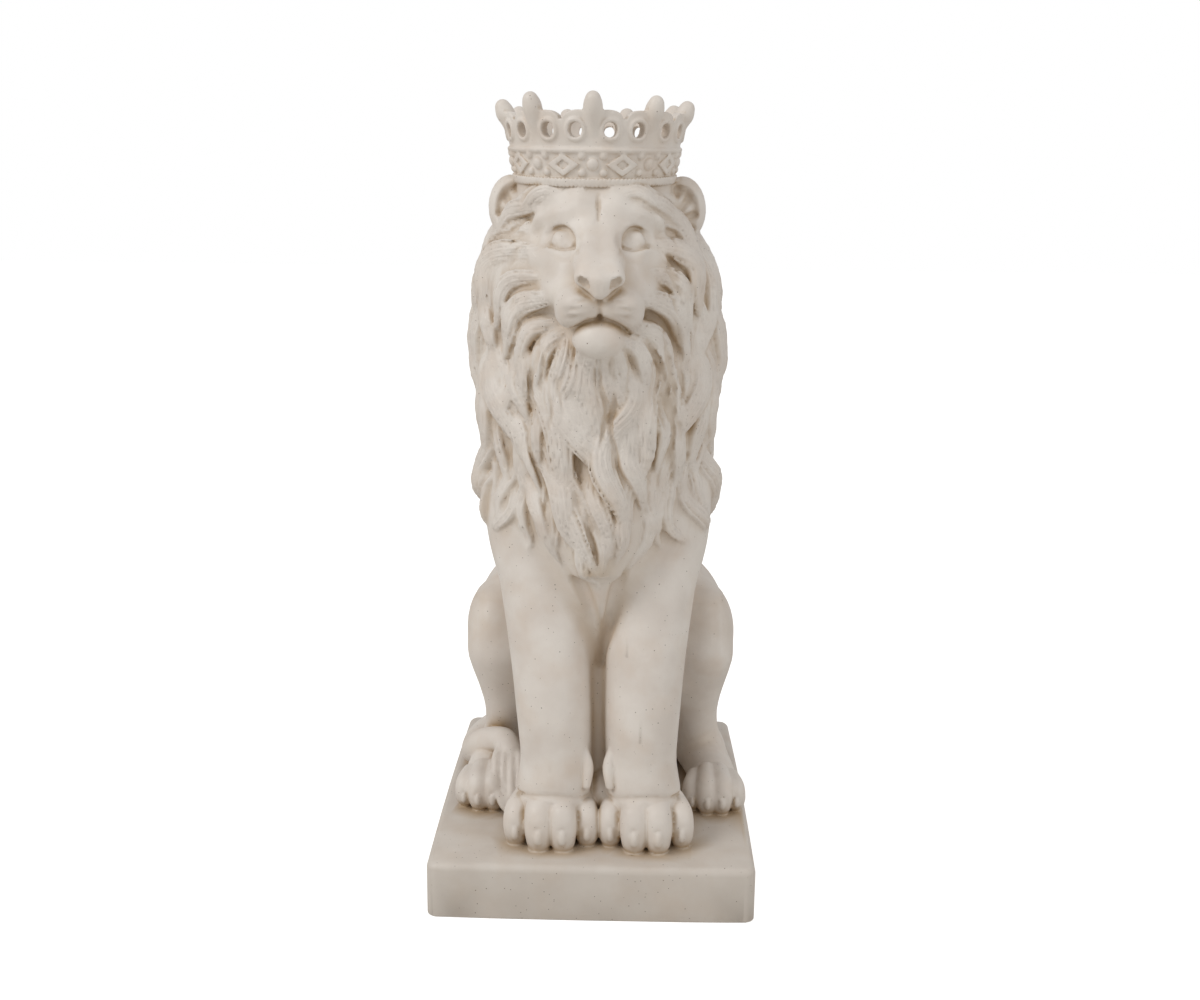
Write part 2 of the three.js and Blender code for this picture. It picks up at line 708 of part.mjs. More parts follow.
// Collapses the cheapest edges, in passes, until few enough faces are left. An
// edge goes only if its ends share exactly two neighbours and no face turns over.
function thin(mesh, target) {
  const { points } = mesh;
  let { faces } = mesh;
  const sums = quadrics(mesh);
  while (faces.length > target) {
    const around = points.map(() => []);
    faces.forEach((f, i) => f.forEach((v) => around[v].push(i)));
    const edges = [];
    for (const f of faces)
      for (let k = 0; k < 3; k++) {
        const [a, b] = [f[k], f[(k + 1) % 3]];
        if (a > b) continue;
        const q = sums[a].map((v, i) => v + sums[b][i]);
        const point = bestPoint(q, points[a], points[b]);
        edges.push({ a, b, point, cost: Math.max(quadricError(q, point), 0) });
      }
    edges.sort((s, t) => s.cost - t.cost);
    const held = new Uint8Array(points.length);
    const gone = new Uint8Array(faces.length);
    const allowed = Math.ceil(edges.length * 0.35);
    let left = faces.length;
    for (const { a, b, point } of edges.slice(0, allowed)) {
      if (left <= target) break;
      if (held[a] || held[b]) continue;
      const ring = (v) => new Set(around[v].flatMap((f) => faces[f]));
      const [ringA, ringB] = [ring(a), ring(b)];
      const shared = [...ringA].filter((v) => v !== a && v !== b && ringB.has(v));
      if (shared.length !== 2) continue;
      if (turnsOver(a, b, point) || turnsOver(b, a, point)) continue;
      for (const v of ringA) held[v] = 1;
      for (const v of ringB) held[v] = 1;
      points[a] = point;
      sums[a].forEach((_, i) => (sums[a][i] += sums[b][i]));
      for (const f of around[b]) {
        if (faces[f].includes(a)) {
          gone[f] = 1;
          left--;
        } else faces[f] = faces[f].map((v) => (v === b ? a : v));
      }
    }
    const kept = faces.filter((_, i) => !gone[i]);
    if (kept.length === faces.length) break;
    faces = kept;

    function turnsOver(from, other, to) {
      return around[from].some((f) => {
        if (faces[f].includes(other)) return false;
        const [p, q, r] = faces[f].map((v) => new THREE.Vector3(...points[v]));
        const before = q.clone().sub(p).cross(r.clone().sub(p));
        const moved = faces[f].map((v) => new THREE.Vector3(...(v === from ? to : points[v])));
        const after = moved[1].clone().sub(moved[0]).cross(moved[2].clone().sub(moved[0]));
        return before.dot(after) < 0.25 * before.length() * after.length();
      });
    }
  }
  return { points, faces };
}

function geometryOf({ points, faces }) {
  const geometry = new THREE.BufferGeometry();
  geometry.setAttribute("position", new THREE.Float32BufferAttribute(points.flat(), 3));
  geometry.setIndex(faces.flat());
  return geometry;
}

// ---- Joining the casting ---------------------------------------------------

const wasm = await Module();
wasm.setup();

function solidOf(geometry) {
  const bare = geometry.clone();
  bare.deleteAttribute("normal");
  bare.deleteAttribute("uv");
  const merged = mergeVertices(bare, 1e-4);
  return new wasm.Manifold(
    new wasm.Mesh({
      numProp: 3,
      vertProperties: merged.attributes.position.array,
      triVerts: new Uint32Array(merged.index.array),
    }),
  );
}

// The largest body of a solid, so that no stray chip is left floating.
function mainBody(solid) {
  return solid.decompose().sort((a, b) => b.volume() - a.volume())[0];
}

function plinthGeometry() {
  const { width, depth, height, corner, edge } = PLINTH;
  const [x, y] = [width / 2 - edge, depth / 2 - edge];
  const outline = new THREE.Shape();
  outline.absarc(x - corner, y - corner, corner, 0, Math.PI / 2);
  outline.absarc(corner - x, y - corner, corner, Math.PI / 2, Math.PI);
  outline.absarc(corner - x, corner - y, corner, Math.PI, Math.PI * 1.5);
  outline.absarc(x - corner, corner - y, corner, Math.PI * 1.5, Math.PI * 2);
  const geometry = new THREE.ExtrudeGeometry(outline, {
    depth: height - 2 * edge,
    bevelThickness: edge,
    bevelSize: edge,
    bevelSegments: 3,
    curveSegments: 5,
  });
  return geometry.translate(0, 0, edge);
}

// Meshes a field and leans it with the rest of the figure. A face also slides
// sideways, more the further forward it stands.
function leaningGeometry(field, faces, turn = null) {
  const geometry = geometryOf(thin(surfaceOf(field), faces));
  const place = geometry.attributes.position;
  for (let i = 0; i < place.count; i++) {
    const share = (place.getZ(i) - PLINTH.height) / (LION.top - PLINTH.height);
    const slide = turn ? turn.shift + turn.rate * (turn.y - place.getY(i)) : 0;
    place.setX(i, place.getX(i) + slide + lerp(LEAN.foot, LEAN.top, share));
  }
  return geometry;
}

function bodyGeometry() {
  const { step, foot, top, faces } = LION;
  const reach = PLINTH.width / 2 + 2;
  const field = new Field([-reach, -104, foot], [reach, PLINTH.depth / 2 + 2, top], step);
  carveBody(field);
  carveTail(field);
  carveMane(field);
  field.cut(crownBowl());
  return leaningGeometry(field, faces);
}

function headGeometry() {
  const field = new Field(HEAD.low, HEAD.high, HEAD.step);
  carveHead(field);
  field.cut(crownBowl());
  return leaningGeometry(field, HEAD.faces, TURN);
}

// The room inside the crown, above its floor, cleared out of the head and mane.
function crownBowl() {
  const { middle, dip, footRadius, flare, wall, floor } = CROWN;
  return {
    low: [-60, -90, 290],
    high: [60, 40, 330],
    distance(x, y, z) {
      const w = z - middle[2] - dip * (y - middle[1]);
      const side = Math.hypot(x - middle[0], y - middle[1]) - (footRadius + flare * w - wall / 2);
      return Math.max(side, floor / 2 - w);
    },
  };
}

function crownGeometry() {
  const { step, faces, middle, dip, footRadius, knobHeight } = CROWN;
  const reach = footRadius + 12;
  const field = new Field([-reach, -reach, -10], [reach, reach, 42], step);
  carveCrown(field);
  const geometry = geometryOf(thin(surfaceOf(field), faces));
  const place = geometry.attributes.position;
  for (let i = 0; i < place.count; i++) {
    const fade = 1 - place.getZ(i) / knobHeight;
    place.setZ(i, place.getZ(i) + dip * fade * place.getY(i));
  }
  return geometry.translate(middle[0] + LEAN.top, middle[1], middle[2]);
}

const pieces = [bodyGeometry(), headGeometry(), crownGeometry(), plinthGeometry()];
const casting = mainBody(
  pieces.map(solidOf).reduce((whole, piece) => whole.add(piece)),
);
const { vertProperties, triVerts } = casting.getMesh();
const carved = new THREE.BufferGeometry();
carved.setAttribute("position", new THREE.BufferAttribute(vertProperties, 3));
carved.setIndex(new THREE.BufferAttribute(triVerts, 1));
carved.computeVertexNormals();

const sandResin = new THREE.MeshStandardMaterial({
  color: 0xd8cfc2,
  roughness: 0.62,
  metalness: 0,
});
const statue = new THREE.Mesh(carved, sandResin);
statue.name = "crowned_lion";

const part = new THREE.Group();
part.add(statue);
export default part;
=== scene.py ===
import math

import bpy
import numpy as np
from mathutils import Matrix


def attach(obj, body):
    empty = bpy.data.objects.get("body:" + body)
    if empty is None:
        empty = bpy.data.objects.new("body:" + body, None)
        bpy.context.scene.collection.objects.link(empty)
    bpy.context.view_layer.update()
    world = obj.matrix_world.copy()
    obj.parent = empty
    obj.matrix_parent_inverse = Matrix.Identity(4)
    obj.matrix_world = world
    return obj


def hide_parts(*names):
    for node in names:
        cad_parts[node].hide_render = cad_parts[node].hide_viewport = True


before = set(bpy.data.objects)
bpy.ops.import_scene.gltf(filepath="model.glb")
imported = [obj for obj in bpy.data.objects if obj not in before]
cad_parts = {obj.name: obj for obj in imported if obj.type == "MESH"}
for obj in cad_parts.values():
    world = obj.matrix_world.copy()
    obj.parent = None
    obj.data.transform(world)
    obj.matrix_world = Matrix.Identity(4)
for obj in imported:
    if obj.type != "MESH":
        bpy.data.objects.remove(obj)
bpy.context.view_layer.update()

import openvdb
from mathutils import Matrix, Vector

# ---------------------------------------------------------------------------
# Camera. A little above the lion's eyes and looking slightly down on the
# plinth, with a lens that suits a tabletop figure seen from arm's length.
# ---------------------------------------------------------------------------
camera_data = bpy.data.cameras.new("camera")
camera_data.lens = 40.7
camera_data.sensor_width = 36
camera = bpy.data.objects.new("camera", camera_data)
bpy.context.collection.objects.link(camera)
yaw, pitch, roll = (math.radians(angle) for angle in (1.0, 12.31, 0.62))
level = math.cos(pitch)
ahead = Vector((-math.sin(yaw) * level, math.cos(yaw) * level, -math.sin(pitch)))
across = Vector((math.cos(yaw), math.sin(yaw), 0))
upright = across.cross(ahead)
right = across * math.cos(roll) + upright * math.sin(roll)
up = upright * math.cos(roll) - across * math.sin(roll)
turned = Matrix((right, up, -ahead)).transposed().to_4x4()
camera.matrix_world = Matrix.Translation(Vector((0.0117, -0.6227, 0.3035))) @ turned
bpy.context.scene.camera = camera

# ---------------------------------------------------------------------------
# Plinth. A rectangular slab, cast in one with the lion in resin filled with
# stone powder. Its arrises are rounded and its sides bow a little, as they
# came from the mould. The sculptor's working stuff is a block of clay: a grid
# of distances in millimetres, negative inside, that shapes are pressed onto.
# ---------------------------------------------------------------------------
FAR = 8.0
GRAIN = 0.75  # millimetres between points of the block


def melt(a, b, blend=0.01):
    """Joins two shapes with a small fillet where they meet."""
    return np.minimum(a, b) - np.maximum(blend - np.abs(a - b), 0) ** 2 / (4 * blend)


class Clay:
    def __init__(self, low, high, step):
        self.low = np.array(low, float)
        self.step = step
        self.size = np.ceil((np.array(high) - self.low) / step).astype(int) + 1
        self.data = np.full(self.size, FAR, np.float32)

    def window(self, low, high, margin):
        first = np.floor((np.array(low) - margin - self.low) / self.step).astype(int)
        last = np.ceil((np.array(high) + margin - self.low) / self.step).astype(int) + 1
        return np.clip(first, 0, self.size), np.clip(last, 0, self.size)

    def axes(self, first, last):
        x, y, z = (
            (self.low[i] + self.step * np.arange(first[i], last[i])).astype(np.float32)
            for i in range(3)
        )
        return x[:, None, None], y[None, :, None], z[None, None, :]

    def measure(self, parts, low, high, margin):
        """Distance to the nearest of a shape's parts, each looked at only near itself."""
        first, last = self.window(low, high, margin)
        near = np.full(np.maximum(last - first, 0), margin, np.float32)
        for part_low, part_high, distance in parts:
            a, b = self.window(part_low, part_high, margin)
            if np.any(b <= a):
                continue
            found = distance(*self.axes(a, b))
            cell = tuple(slice(a[i] - first[i], b[i] - first[i]) for i in range(3))
            near[cell] = np.minimum(near[cell], found)
        return near, tuple(slice(first[i], last[i]) for i in range(3))

    def press(self, parts, blend, margin, cut):
        low = np.min([part[0] for part in parts], axis=0)
        high = np.max([part[1] for part in parts], axis=0)
        near, where = self.measure(parts, low, high, max(margin, blend + 1))
        old = self.data[where]
        self.data[where] = -melt(-old, near, blend) if cut else melt(old, near, blend)

    def add(self, parts, blend=0.1, margin=FAR):
        self.press(parts, blend, margin, False)

    def cut(self, parts, blend=0.1, margin=4.0):
        self.press(parts, blend, margin, True)

    def sample(self, points):
        """Distances at points, between the grid's own by straight interpolation."""
        at = (np.asarray(points) - self.low) / self.step
        at = np.clip(at, 0, self.size - 1.001)
        whole = at.astype(int)
        part = at - whole
        total = 0
        for corner in np.ndindex(2, 2, 2):
            share = np.prod(np.where(corner, part, 1 - part), axis=1)
            i, j, k = (whole + corner).T
            total = total + share * self.data[i, j, k]
        return total


LOW, HIGH = (-76, -106, -4), (76, 92, 326)
PLINTH_TOP = 25
clay = Clay(LOW, HIGH, GRAIN)


def plinth_block(x, y, z):
    round_corner, round_edge = 5.0, 3.2
    half_width = 72 - 0.7 + 0.7 * np.cos(y / 52)
    half_depth = 88 - 0.8 + 0.8 * np.cos(x / 42)
    over_x = np.abs(x + 3) - half_width + round_corner
    over_y = np.abs(y) - half_depth + round_corner
    outline = np.hypot(np.maximum(over_x, 0), np.maximum(over_y, 0)) - round_corner
    outline = outline + np.minimum(np.maximum(over_x, over_y), 0)
    top = z - PLINTH_TOP - 0.25 * np.sin(x / 23) * np.cos(y / 31)
    edge_out, edge_up = outline + round_edge, top + round_edge
    rounded = np.hypot(np.maximum(edge_out, 0), np.maximum(edge_up, 0)) - round_edge
    rounded = rounded + np.minimum(np.maximum(edge_out, edge_up), 0)
    return np.maximum(rounded, -z)


clay.add([((-74, -89, 0), (70, 89, 26), plinth_block)])

# ---------------------------------------------------------------------------
# Body. The lion sits upright, so chest, belly and rump are one leaning column,
# filled in behind the forelegs with a thin web that lets the mould open.
# ---------------------------------------------------------------------------


def ball(centre, radii, pitch=0.0, yaw=0.0):
    """An ellipsoid, turned about X by pitch and then about Z by yaw."""
    centre = np.array(centre, float)
    a, b, c = radii
    cp, sp, cy, sy = math.cos(pitch), math.sin(pitch), math.cos(yaw), math.sin(yaw)

    def distance(x, y, z):
        dx, dy, dz = x - centre[0], y - centre[1], z - centre[2]
        u = cy * dx + sy * dy
        side = cy * dy - sy * dx
        v = cp * side + sp * dz
        w = cp * dz - sp * side
        near = np.sqrt((u / a) ** 2 + (v / b) ** 2 + (w / c) ** 2)
        slope = np.sqrt((u / a / a) ** 2 + (v / b / b) ** 2 + (w / c / c) ** 2)
        return np.where(slope > 1e-6, near * (near - 1) / np.maximum(slope, 1e-6), -min(radii))

    return [(centre - max(radii), centre + max(radii), distance)]


def smooth_path(knots, pieces):
    """Evenly spaced stations on a Catmull-Rom curve through rows of numbers."""
    knots = np.array(knots, float)
    ends = np.vstack([2 * knots[0] - knots[1], knots, 2 * knots[-1] - knots[-2]])
    t = np.linspace(0, len(knots) - 1, pieces + 1)
    k = np.minimum(t.astype(int), len(knots) - 2)
    f = (t - k)[:, None]
    p, q, r, s = (ends[k + i] for i in range(4))
    return 0.5 * (
        2 * q + (r - p) * f + (2 * p - 5 * q + 4 * r - s) * f**2 + (3 * q - p - 3 * r + s) * f**3
    )


def limb(knots, pieces=12):
    """A round limb through [x, y, z, radius] knots."""
    stations = smooth_path(knots, pieces)
    parts = []
    for a, b in zip(stations[:-1], stations[1:]):
        span = b[:3] - a[:3]
        length2 = max(float(span @ span), 1e-6)

        def distance(x, y, z, a=a, b=b, span=span, length2=length2):
            dx, dy, dz = x - a[0], y - a[1], z - a[2]
            t = np.clip((dx * span[0] + dy * span[1] + dz * span[2]) / length2, 0, 1)
            dx, dy, dz = dx - t * span[0], dy - t * span[1], dz - t * span[2]
            return np.sqrt(dx * dx + dy * dy + dz * dz) - (a[3] + (b[3] - a[3]) * t)

        radius = max(a[3], b[3])
        low, high = np.minimum(a[:3], b[:3]) - radius, np.maximum(a[:3], b[:3]) + radius
        parts.append((low, high, distance))
    return parts


clay_body = Clay(LOW, HIGH, GRAIN)
clay_body.add(
    limb([(0, 2, 205, 34), (0, 6, 165, 38), (0, 24, 115, 40), (0, 40, 72, 42), (0, 44, 50, 40)])
)
clay_body.add(ball((0, -26, 158), (34, 32, 38)), 14)
clay_body.add(ball((0, -28, 70), (20, 22, 62)), 4)
keel = [(0, -46, 170, 22), (0, -50, 146, 13), (0, -51.5, 130, 6), (0, -46, 110, 2)]
clay_body.add(limb(keel), 9)

# ---------------------------------------------------------------------------
# Limbs. Thick forelegs stand straight and nearly touch; the hind legs are
# folded beside them. They are cast with the body and fused to the plinth.
# ---------------------------------------------------------------------------
for side in (1, -1):
    foreleg = [
        (side * 31, -24, 178, 18),
        (side * 26, -36, 145, 18.5),
        (side * 21.5, -47, 110, 17.6),
        (side * 19.6, -53, 82, 16.6),
        (side * 19, -54, 62, 15.8),
        (side * 20, -55, 48, 16.6),
    ]
    clay_body.add(limb(foreleg), 5)
    clay_body.add(ball((side * 33, -20, 165), (16, 26, 34), 0.25), 10)
    clay_body.add(ball((side * 35, 34, 92), (29, 46, 42), -0.35), 8)
    clay_body.add(ball((side * 51.5, 8, 103), (12, 18, 20)), 10)
    shin = [(side * 50, -2, 92, 12), (side * 46.5, 8, 64, 10.5), (side * 47, 16, 42, 11.5)]
    clay_body.add(limb(shin), 7)
    foot = [(side * 46, 46, 38, 13), (side * 50, 16, 36, 12), (side * 54, -8, 34, 11)]
    clay_body.add(limb(foot), 5)


def on_front(block, rows, sink=0.0):
    """Turns rows of (x, z, radius) into knots lying on a block's front surface."""
    rows = smooth_path(rows, 4 * (len(rows) - 1))
    depths = np.arange(-106, 0, 0.25)
    track = np.zeros((len(rows), len(depths), 3))
    track[:, :, 0] = rows[:, :1]
    track[:, :, 1] = depths
    track[:, :, 2] = rows[:, 1:2]
    inside = block.sample(track.reshape(-1, 3)).reshape(len(rows), -1) < 0
    y = depths[inside.argmax(axis=1)] + sink
    return [(x, depth, z, radius) for (x, z, radius), depth in zip(rows, y)]


def paw(side, middle, front, knuckle, toe, pitch, set_back, wrist):
    """Four toes that bend over their knuckles down to the plinth, with blunt claws."""
    for i in range(4):
        outer = i in (0, 3)
        back = set_back if outer else 0.0
        size = toe * (0.9 if outer else 1.0)
        off = (i - 1.5) * pitch
        x = side * middle + off
        top = knuckle - (2.5 if outer else 0)
        digit = [
            (side * middle + off * 0.85, front + wrist, top + 1, size * 0.9),
            (x, front + size + 2.4 + back, top - 0.5, size * 1.0),
            (x + 0.02 * off, front + size + 0.2 + back, 0.5 * (top + 28), size * 1.06),
            (x + 0.03 * off, front + size + 0.8 + back, 29.5, size * 0.94),
        ]
        clay_body.add(limb(digit, 10), 1.0)
        nail = (x + 0.03 * off, front - 0.2 + back, 28 + 0.36 * (top - 28))
        clay_body.cut(ball(nail, (0.46 * size, 1.6, 0.8 * size)), 0.5)
        claw = (nail[0], nail[1] + 0.8, nail[2] - 0.2)
        clay_body.add(ball(claw, (0.33 * size, 1.9, 0.64 * size)), 0.2)
    reach = 1.65 * pitch
    if wrist > 20:
        fold = [
            (side * middle + reach * share, knuckle + 7 - 4 * share * share, 0.9 - 0.5 * abs(share))
            for share in (-1, -0.5, 0, 0.5, 1)
        ]
        clay_body.cut(limb(on_front(clay_body, fold, -0.1), 12), 2.0)


for side in (1, -1):
    clay_body.add(ball((side * 21.5, -54, 36), (18.6, 17, 12)), 3)
    paw(side, 21, -77, 43, 6.0, 10.2, 6, 24)
    clay_body.add(ball((side * 53, -20, 33), (12, 14, 10)), 3)
    paw(side, 53.4, -37, 39.5, 4.9, 6.7, 4, 18)
    dewclaw = [(side * 6.2, -61, 69, 1.6), (side * 4.6, -63, 61, 2.7), (side * 5.2, -65, 53, 2.0)]
    clay_body.add(limb(dewclaw), 0.8)
clay_body.add(ball((1.5, -51, 42), (6, 8, 12)), 2)
# A groove on each side of the breast keel, running down between the forelegs.
for line in ([(-14, 170, 1.0), (-9.5, 152, 2.6), (-4.5, 136, 2.4), (0, 118, 1.4), (1.5, 104, 0.6)],
             [(15, 170, 1.0), (11.5, 152, 2.6), (7.5, 136, 2.4), (4, 118, 1.4), (2.5, 104, 0.6)]):
    clay_body.cut(limb(on_front(clay_body, line, 0.9), 16), 4.0)

# ---------------------------------------------------------------------------
# Tail. It leaves the rump, lies along the plinth outside the right hind foot,
# climbs over the instep and drops its tuft beside the foreleg.
# ---------------------------------------------------------------------------
tail = [
    (-12, 78, 36, 9),
    (-44, 70, 33, 8.5),
    (-61, 44, 32, 8),
    (-63, 16, 35, 7.5),
    (-57, 1, 45, 7),
    (-47, -9, 50, 6.5),
    (-43, -18, 48, 6),
]
clay_body.add(limb(tail, 24), 1)
for i in range(4):
    spread = (i - 1.5) * 3.5
    tuft = [
        (-44 + spread * 0.5, -12, 51 - abs(spread) * 0.4, 3.0),
        (-43.5 + spread, -25, 47, 2.5),
        (-43 + spread, -33 + 0.6 * (i % 2), 38, 2.3),
        (-42 + spread * 0.6, -37.5, 30, 1.7),
        (-40.5 + spread * 0.2, -39, 25.5, 0.8),
    ]
    clay_body.add(limb(tuft), 0.3)

# ---------------------------------------------------------------------------
# Head. The face is modelled full, with blank eyes, and is set on the mane
# mass like a mask before the hair is laid over its edges.
# ---------------------------------------------------------------------------
head = Clay(LOW, HIGH, GRAIN)


def cap_under_crown(x, y, z):
    side = np.hypot(x + 1.3, y + 31) - 32.6 + 1.3 * np.maximum(311 - z, 0)
    return np.maximum(side * 0.62, np.abs(z - 302) - 11)


head.add([((-35, -66, 290), (35, 4, 314), cap_under_crown)])
head.add(ball((0, -38, 287), (31.5, 30, 29)), 3)
head.add(ball((0, -44, 300), (24, 22, 14)), 6)
head.add(ball((0, -60, 252), (13, 17, 9)), 6)
head.add(ball((0, -69, 264), (15.5, 17, 9)), 6)
head.add(ball((0, -71, 272.5), (11, 15.5, 10)), 5)
for side in (1, -1):
    head.add(ball((side * 13.5, -50, 271), (14, 18, 18)), 7)
    head.add(ball((side * 11.5, -63.5, 278), (8.5, 13, 12)), 6)
    head.add(ball((side * 14.5, -66, 269), (8, 12, 7)), 6)
    head.add(ball((side * 18.5, -56, 281), (8, 8.5, 6)), 6)
    bridge = [
        (side * 4.2, -59, 304, 5.6),
        (side * 4.4, -63.5, 296, 5.4),
        (side * 4.4, -70, 288.5, 5.4),
        (side * 4.5, -80, 281, 5.3),
        (side * 4.6, -86, 277.5, 5.0),
    ]
    head.add(limb(bridge), 5)
    head.add(ball((side * 7.4, -60.5, 302.5), (5.6, 7, 6)), 3)
    brow = [
        (side * 9, -62.5, 298.2, 3.6),
        (side * 15.5, -61.5, 299.4, 3.6),
        (side * 22, -56, 296.5, 3),
    ]
    head.add(limb(brow), 4)
    head.cut(ball((side * 13.9, -74.6, 288.5), (5.6, 6, 5.4)), 4.5)
    head.add(ball((side * 8, -80.2, 264.6), (9.3, 10, 7)), 4)
    head.add(ball((side * 11, -76.5, 260.2), (6.6, 9, 5.8)), 3)
    head.add(ball((side * 5.9, -87.6, 275.2), (4.1, 6, 3.6)), 1.5)
head.add(ball((0, -88.5, 273.8), (6.2, 6.6, 5.4)), 2)
head.add(ball((0, -89.2, 270), (3.6, 5.2, 3.6)), 1.5)
head.add(ball((0, -75.5, 250.2), (11.3, 10.5, 6.8)), 1.2)
head.add(ball((0, -78, 254), (8.8, 9, 4.2)), 2)


def score(rows, blend=0.8, sink=0.0):
    """Draws a modelling tool along the face, through rows of (x, z, radius)."""
    head.cut(limb(on_front(head, rows, sink), 6 * (len(rows) - 1)), blend)


def raise_ridge(rows, blend=1.5, sink=0.6):
    head.add(limb(on_front(head, rows, sink), 6 * (len(rows) - 1)), blend)


def oval(x, z, wide, tall, start, stop, size, count=7):
    """Rows of (x, z, radius) round part of an oval, in degrees from +X towards +Z."""
    turns = np.radians(np.linspace(start, stop, count))
    return [(x + wide * math.cos(t), z + tall * math.sin(t), size) for t in turns]


for side in (1, -1):
    eye_x, eye_z = side * 14.5, 286.4
    top_y, low_y = (on_front(head, [(eye_x, z, 1), (eye_x, z - 1, 1)])[0][1] for z in (293.6, 286.8))
    slope = math.atan2(top_y - low_y, 6.8)
    lid = [(eye_x - side * 6.3, 286, 0.7), (eye_x - side * 6, 292.6, 0.9), (eye_x, 296.4, 1.0),
           (eye_x + side * 6, 292.6, 1.0), (eye_x + side * 7.8, 287.4, 0.9)]
    raise_ridge(lid, 1.6, 0.5)
    under = [(eye_x - side * 5.6, 284.8, 0.6), (eye_x, 283.6, 0.9), (eye_x + side * 6, 285.6, 0.8)]
    raise_ridge(under, 1.2, 0.5)
    sunk = 3.9
    middle = (eye_x, (top_y + low_y) / 2 + sunk * math.cos(slope), 290.1 - sunk * math.sin(slope))
    head.add(ball(middle, (5.6, 4.8, 5.2), -slope, side * 0.3), 0.3)
    score(oval(eye_x, eye_z, 5.2, 7.8, 0, 180, 0.8, 11), 0.3, 0.1)
    low_lid = [(eye_x - side * 5.2, 286.4, 0.8), (eye_x, 285.4, 0.7), (eye_x + side * 5.2, 286.8, 0.8)]
    score(low_lid, 0.3, 0.1)
    corner = [
        (eye_x + side * 5.8, 287, 0.6),
        (eye_x + side * 8.4, 286.4, 0.6),
        (eye_x + side * 11, 286.8, 0.2),
    ]
    score(corner)
    score([(eye_x - side * 5.6, 286, 0.8), (eye_x - side * 6.4, 284, 0.5)])
    nostril = [(side * 4.6, 272.6, 1.2), (side * 6, 273.8, 2.0), (side * 7.4, 274.4, 1.5)]
    head.cut(limb(on_front(head, nostril, 1.2), 8), 0.8)
    rim = [(side * 10, 274, 0.4), (side * 8.2, 271.6, 0.8), (side * 5, 268.8, 0.9), (0, 266.4, 0.9)]
    score(rim, 0.8)
    mouth = [
        (0, 259.4, 1.2),
        (side * 4.5, 258.4, 1.0),
        (side * 8.5, 256.2, 1.0),
        (side * 12, 253.8, 1.0),
        (side * 14, 252.4, 0.7),
    ]
    score(mouth, 0.8, 0.6)
    for row, (start, stop) in enumerate(((5.5, 11), (5, 15), (7, 14))):
        whiskers = [
            (side * start, 266.6 - 3.2 * row, 0.4),
            (side * (start + stop) / 2, 266.4 - 3.3 * row, 1.1),
            (side * stop, 265.2 - 3.1 * row, 0.4),
        ]
        score(whiskers, 0.6, -0.3)
    outline = [(side * 6, 309.5, 1.2), (side * 13.5, 308, 1.6), (side * 20.5, 303, 1.8),
               (side * 24.5, 297, 1.9), (side * 26.3, 289, 1.8), (side * 26.5, 280, 1.2)]
    raise_ridge(outline, 2.0, 0.4)
    ear = ball((side * 36.8, -31, 302), (9.8, 8, 13.4), -0.1, side * 0.35)
    head.add(ear, 2.5)
    head.cut(ball((side * 36.6, -40, 302), (7, 7.4, 10.8), -0.1, side * 0.35), 1.6)
    head.add(ball((side * 31, -36.5, 295), (6, 5, 9)), 3)
    head.add(ball((side * 34.5, -34, 298), (7, 4.4, 10)), 2)
    for tip_x, tip_z in ((34, 310), (38.5, 306), (41, 299.5), (40, 293)):
        strand_groove = [(side * 30, 294, 0.5), (side * (30 + tip_x) / 2, (295 + tip_z) / 2, 1.1),
                         (side * tip_x, tip_z, 1.5)]
        score(strand_groove, 1.2, 0.2)
score([(0, 266.6, 0.7), (0, 263, 0.6), (0, 260, 0.9)], 0.8, 0.1)
lip = on_front(head, [(0, 251.5, 1), (0, 250.5, 1)])[0]
head.add(ball((-0.6, lip[1] + 4.2, 250), (9.6, 6, 6.3)), 3)
score([(0, 275, 0.3), (0, 271.5, 0.5), (0, 268.6, 0.5)], 0.5)
score([(0, 307.5, 0.5), (0, 303, 0.9), (0, 297, 0.4)], 0.8, 0.4)

# The head is turned slightly to the lion's left: each slice slides sideways.
TURN_AT, TURN_SHIFT, TURN_RATE = -40, 1.2, 0.035
for j in range(head.size[1]):
    slide = (TURN_SHIFT + TURN_RATE * (TURN_AT - (head.low[1] + head.step * j))) / head.step
    whole = math.floor(slide)
    part = slide - whole
    sheet = head.data[:, j, :].copy()
    head.data[:, j, :] = (1 - part) * np.roll(sheet, whole, 0) + part * np.roll(sheet, whole + 1, 0)

# ---------------------------------------------------------------------------
# Mane. A thick ruff of snaking, tapering locks laid in tiers like thatch,
# each carved with strands and undercut so that deep gaps open between them.
# ---------------------------------------------------------------------------
# Rows of height, middle y, half-width and half-depth of the ruff under the hair.
MANE_ROWS = np.array([
    (150, -14, 15, 56),
    (165, -14, 33, 55.5),
    (190, -14, 43.5, 54),
    (228, -14, 49.5, 52),
    (262, -10, 51, 45),
    (285, -8, 45, 40),
    (300, -10, 37, 33),
    (310, -17, 29, 25),
    (317, -25, 19, 15),
], float)


def mane_section(z):
    """Middle y, half-width and half-depth of the mane's core at a height."""
    z = np.clip(z, 150, 317)
    rows = MANE_ROWS
    k = np.clip(np.searchsorted(rows[:, 0], z, side="right") - 1, 0, len(rows) - 2)
    before, after = np.maximum(k - 1, 0), np.minimum(k + 2, len(rows) - 1)
    span = rows[k + 1, 0] - rows[k, 0]
    t = (z - rows[k, 0]) / span
    result = []
    for i in (1, 2, 3):
        leave = (rows[k + 1, i] - rows[before, i]) / (rows[k + 1, 0] - rows[before, 0]) * span
        reach = (rows[after, i] - rows[k, i]) / (rows[after, 0] - rows[k, 0]) * span
        result.append(
            rows[k, i] * (2 * t**3 - 3 * t**2 + 1)
            + leave * (t**3 - 2 * t**2 + t)
            + rows[k + 1, i] * (3 * t**2 - 2 * t**3)
            + reach * (t**3 - t**2)
        )
    return result


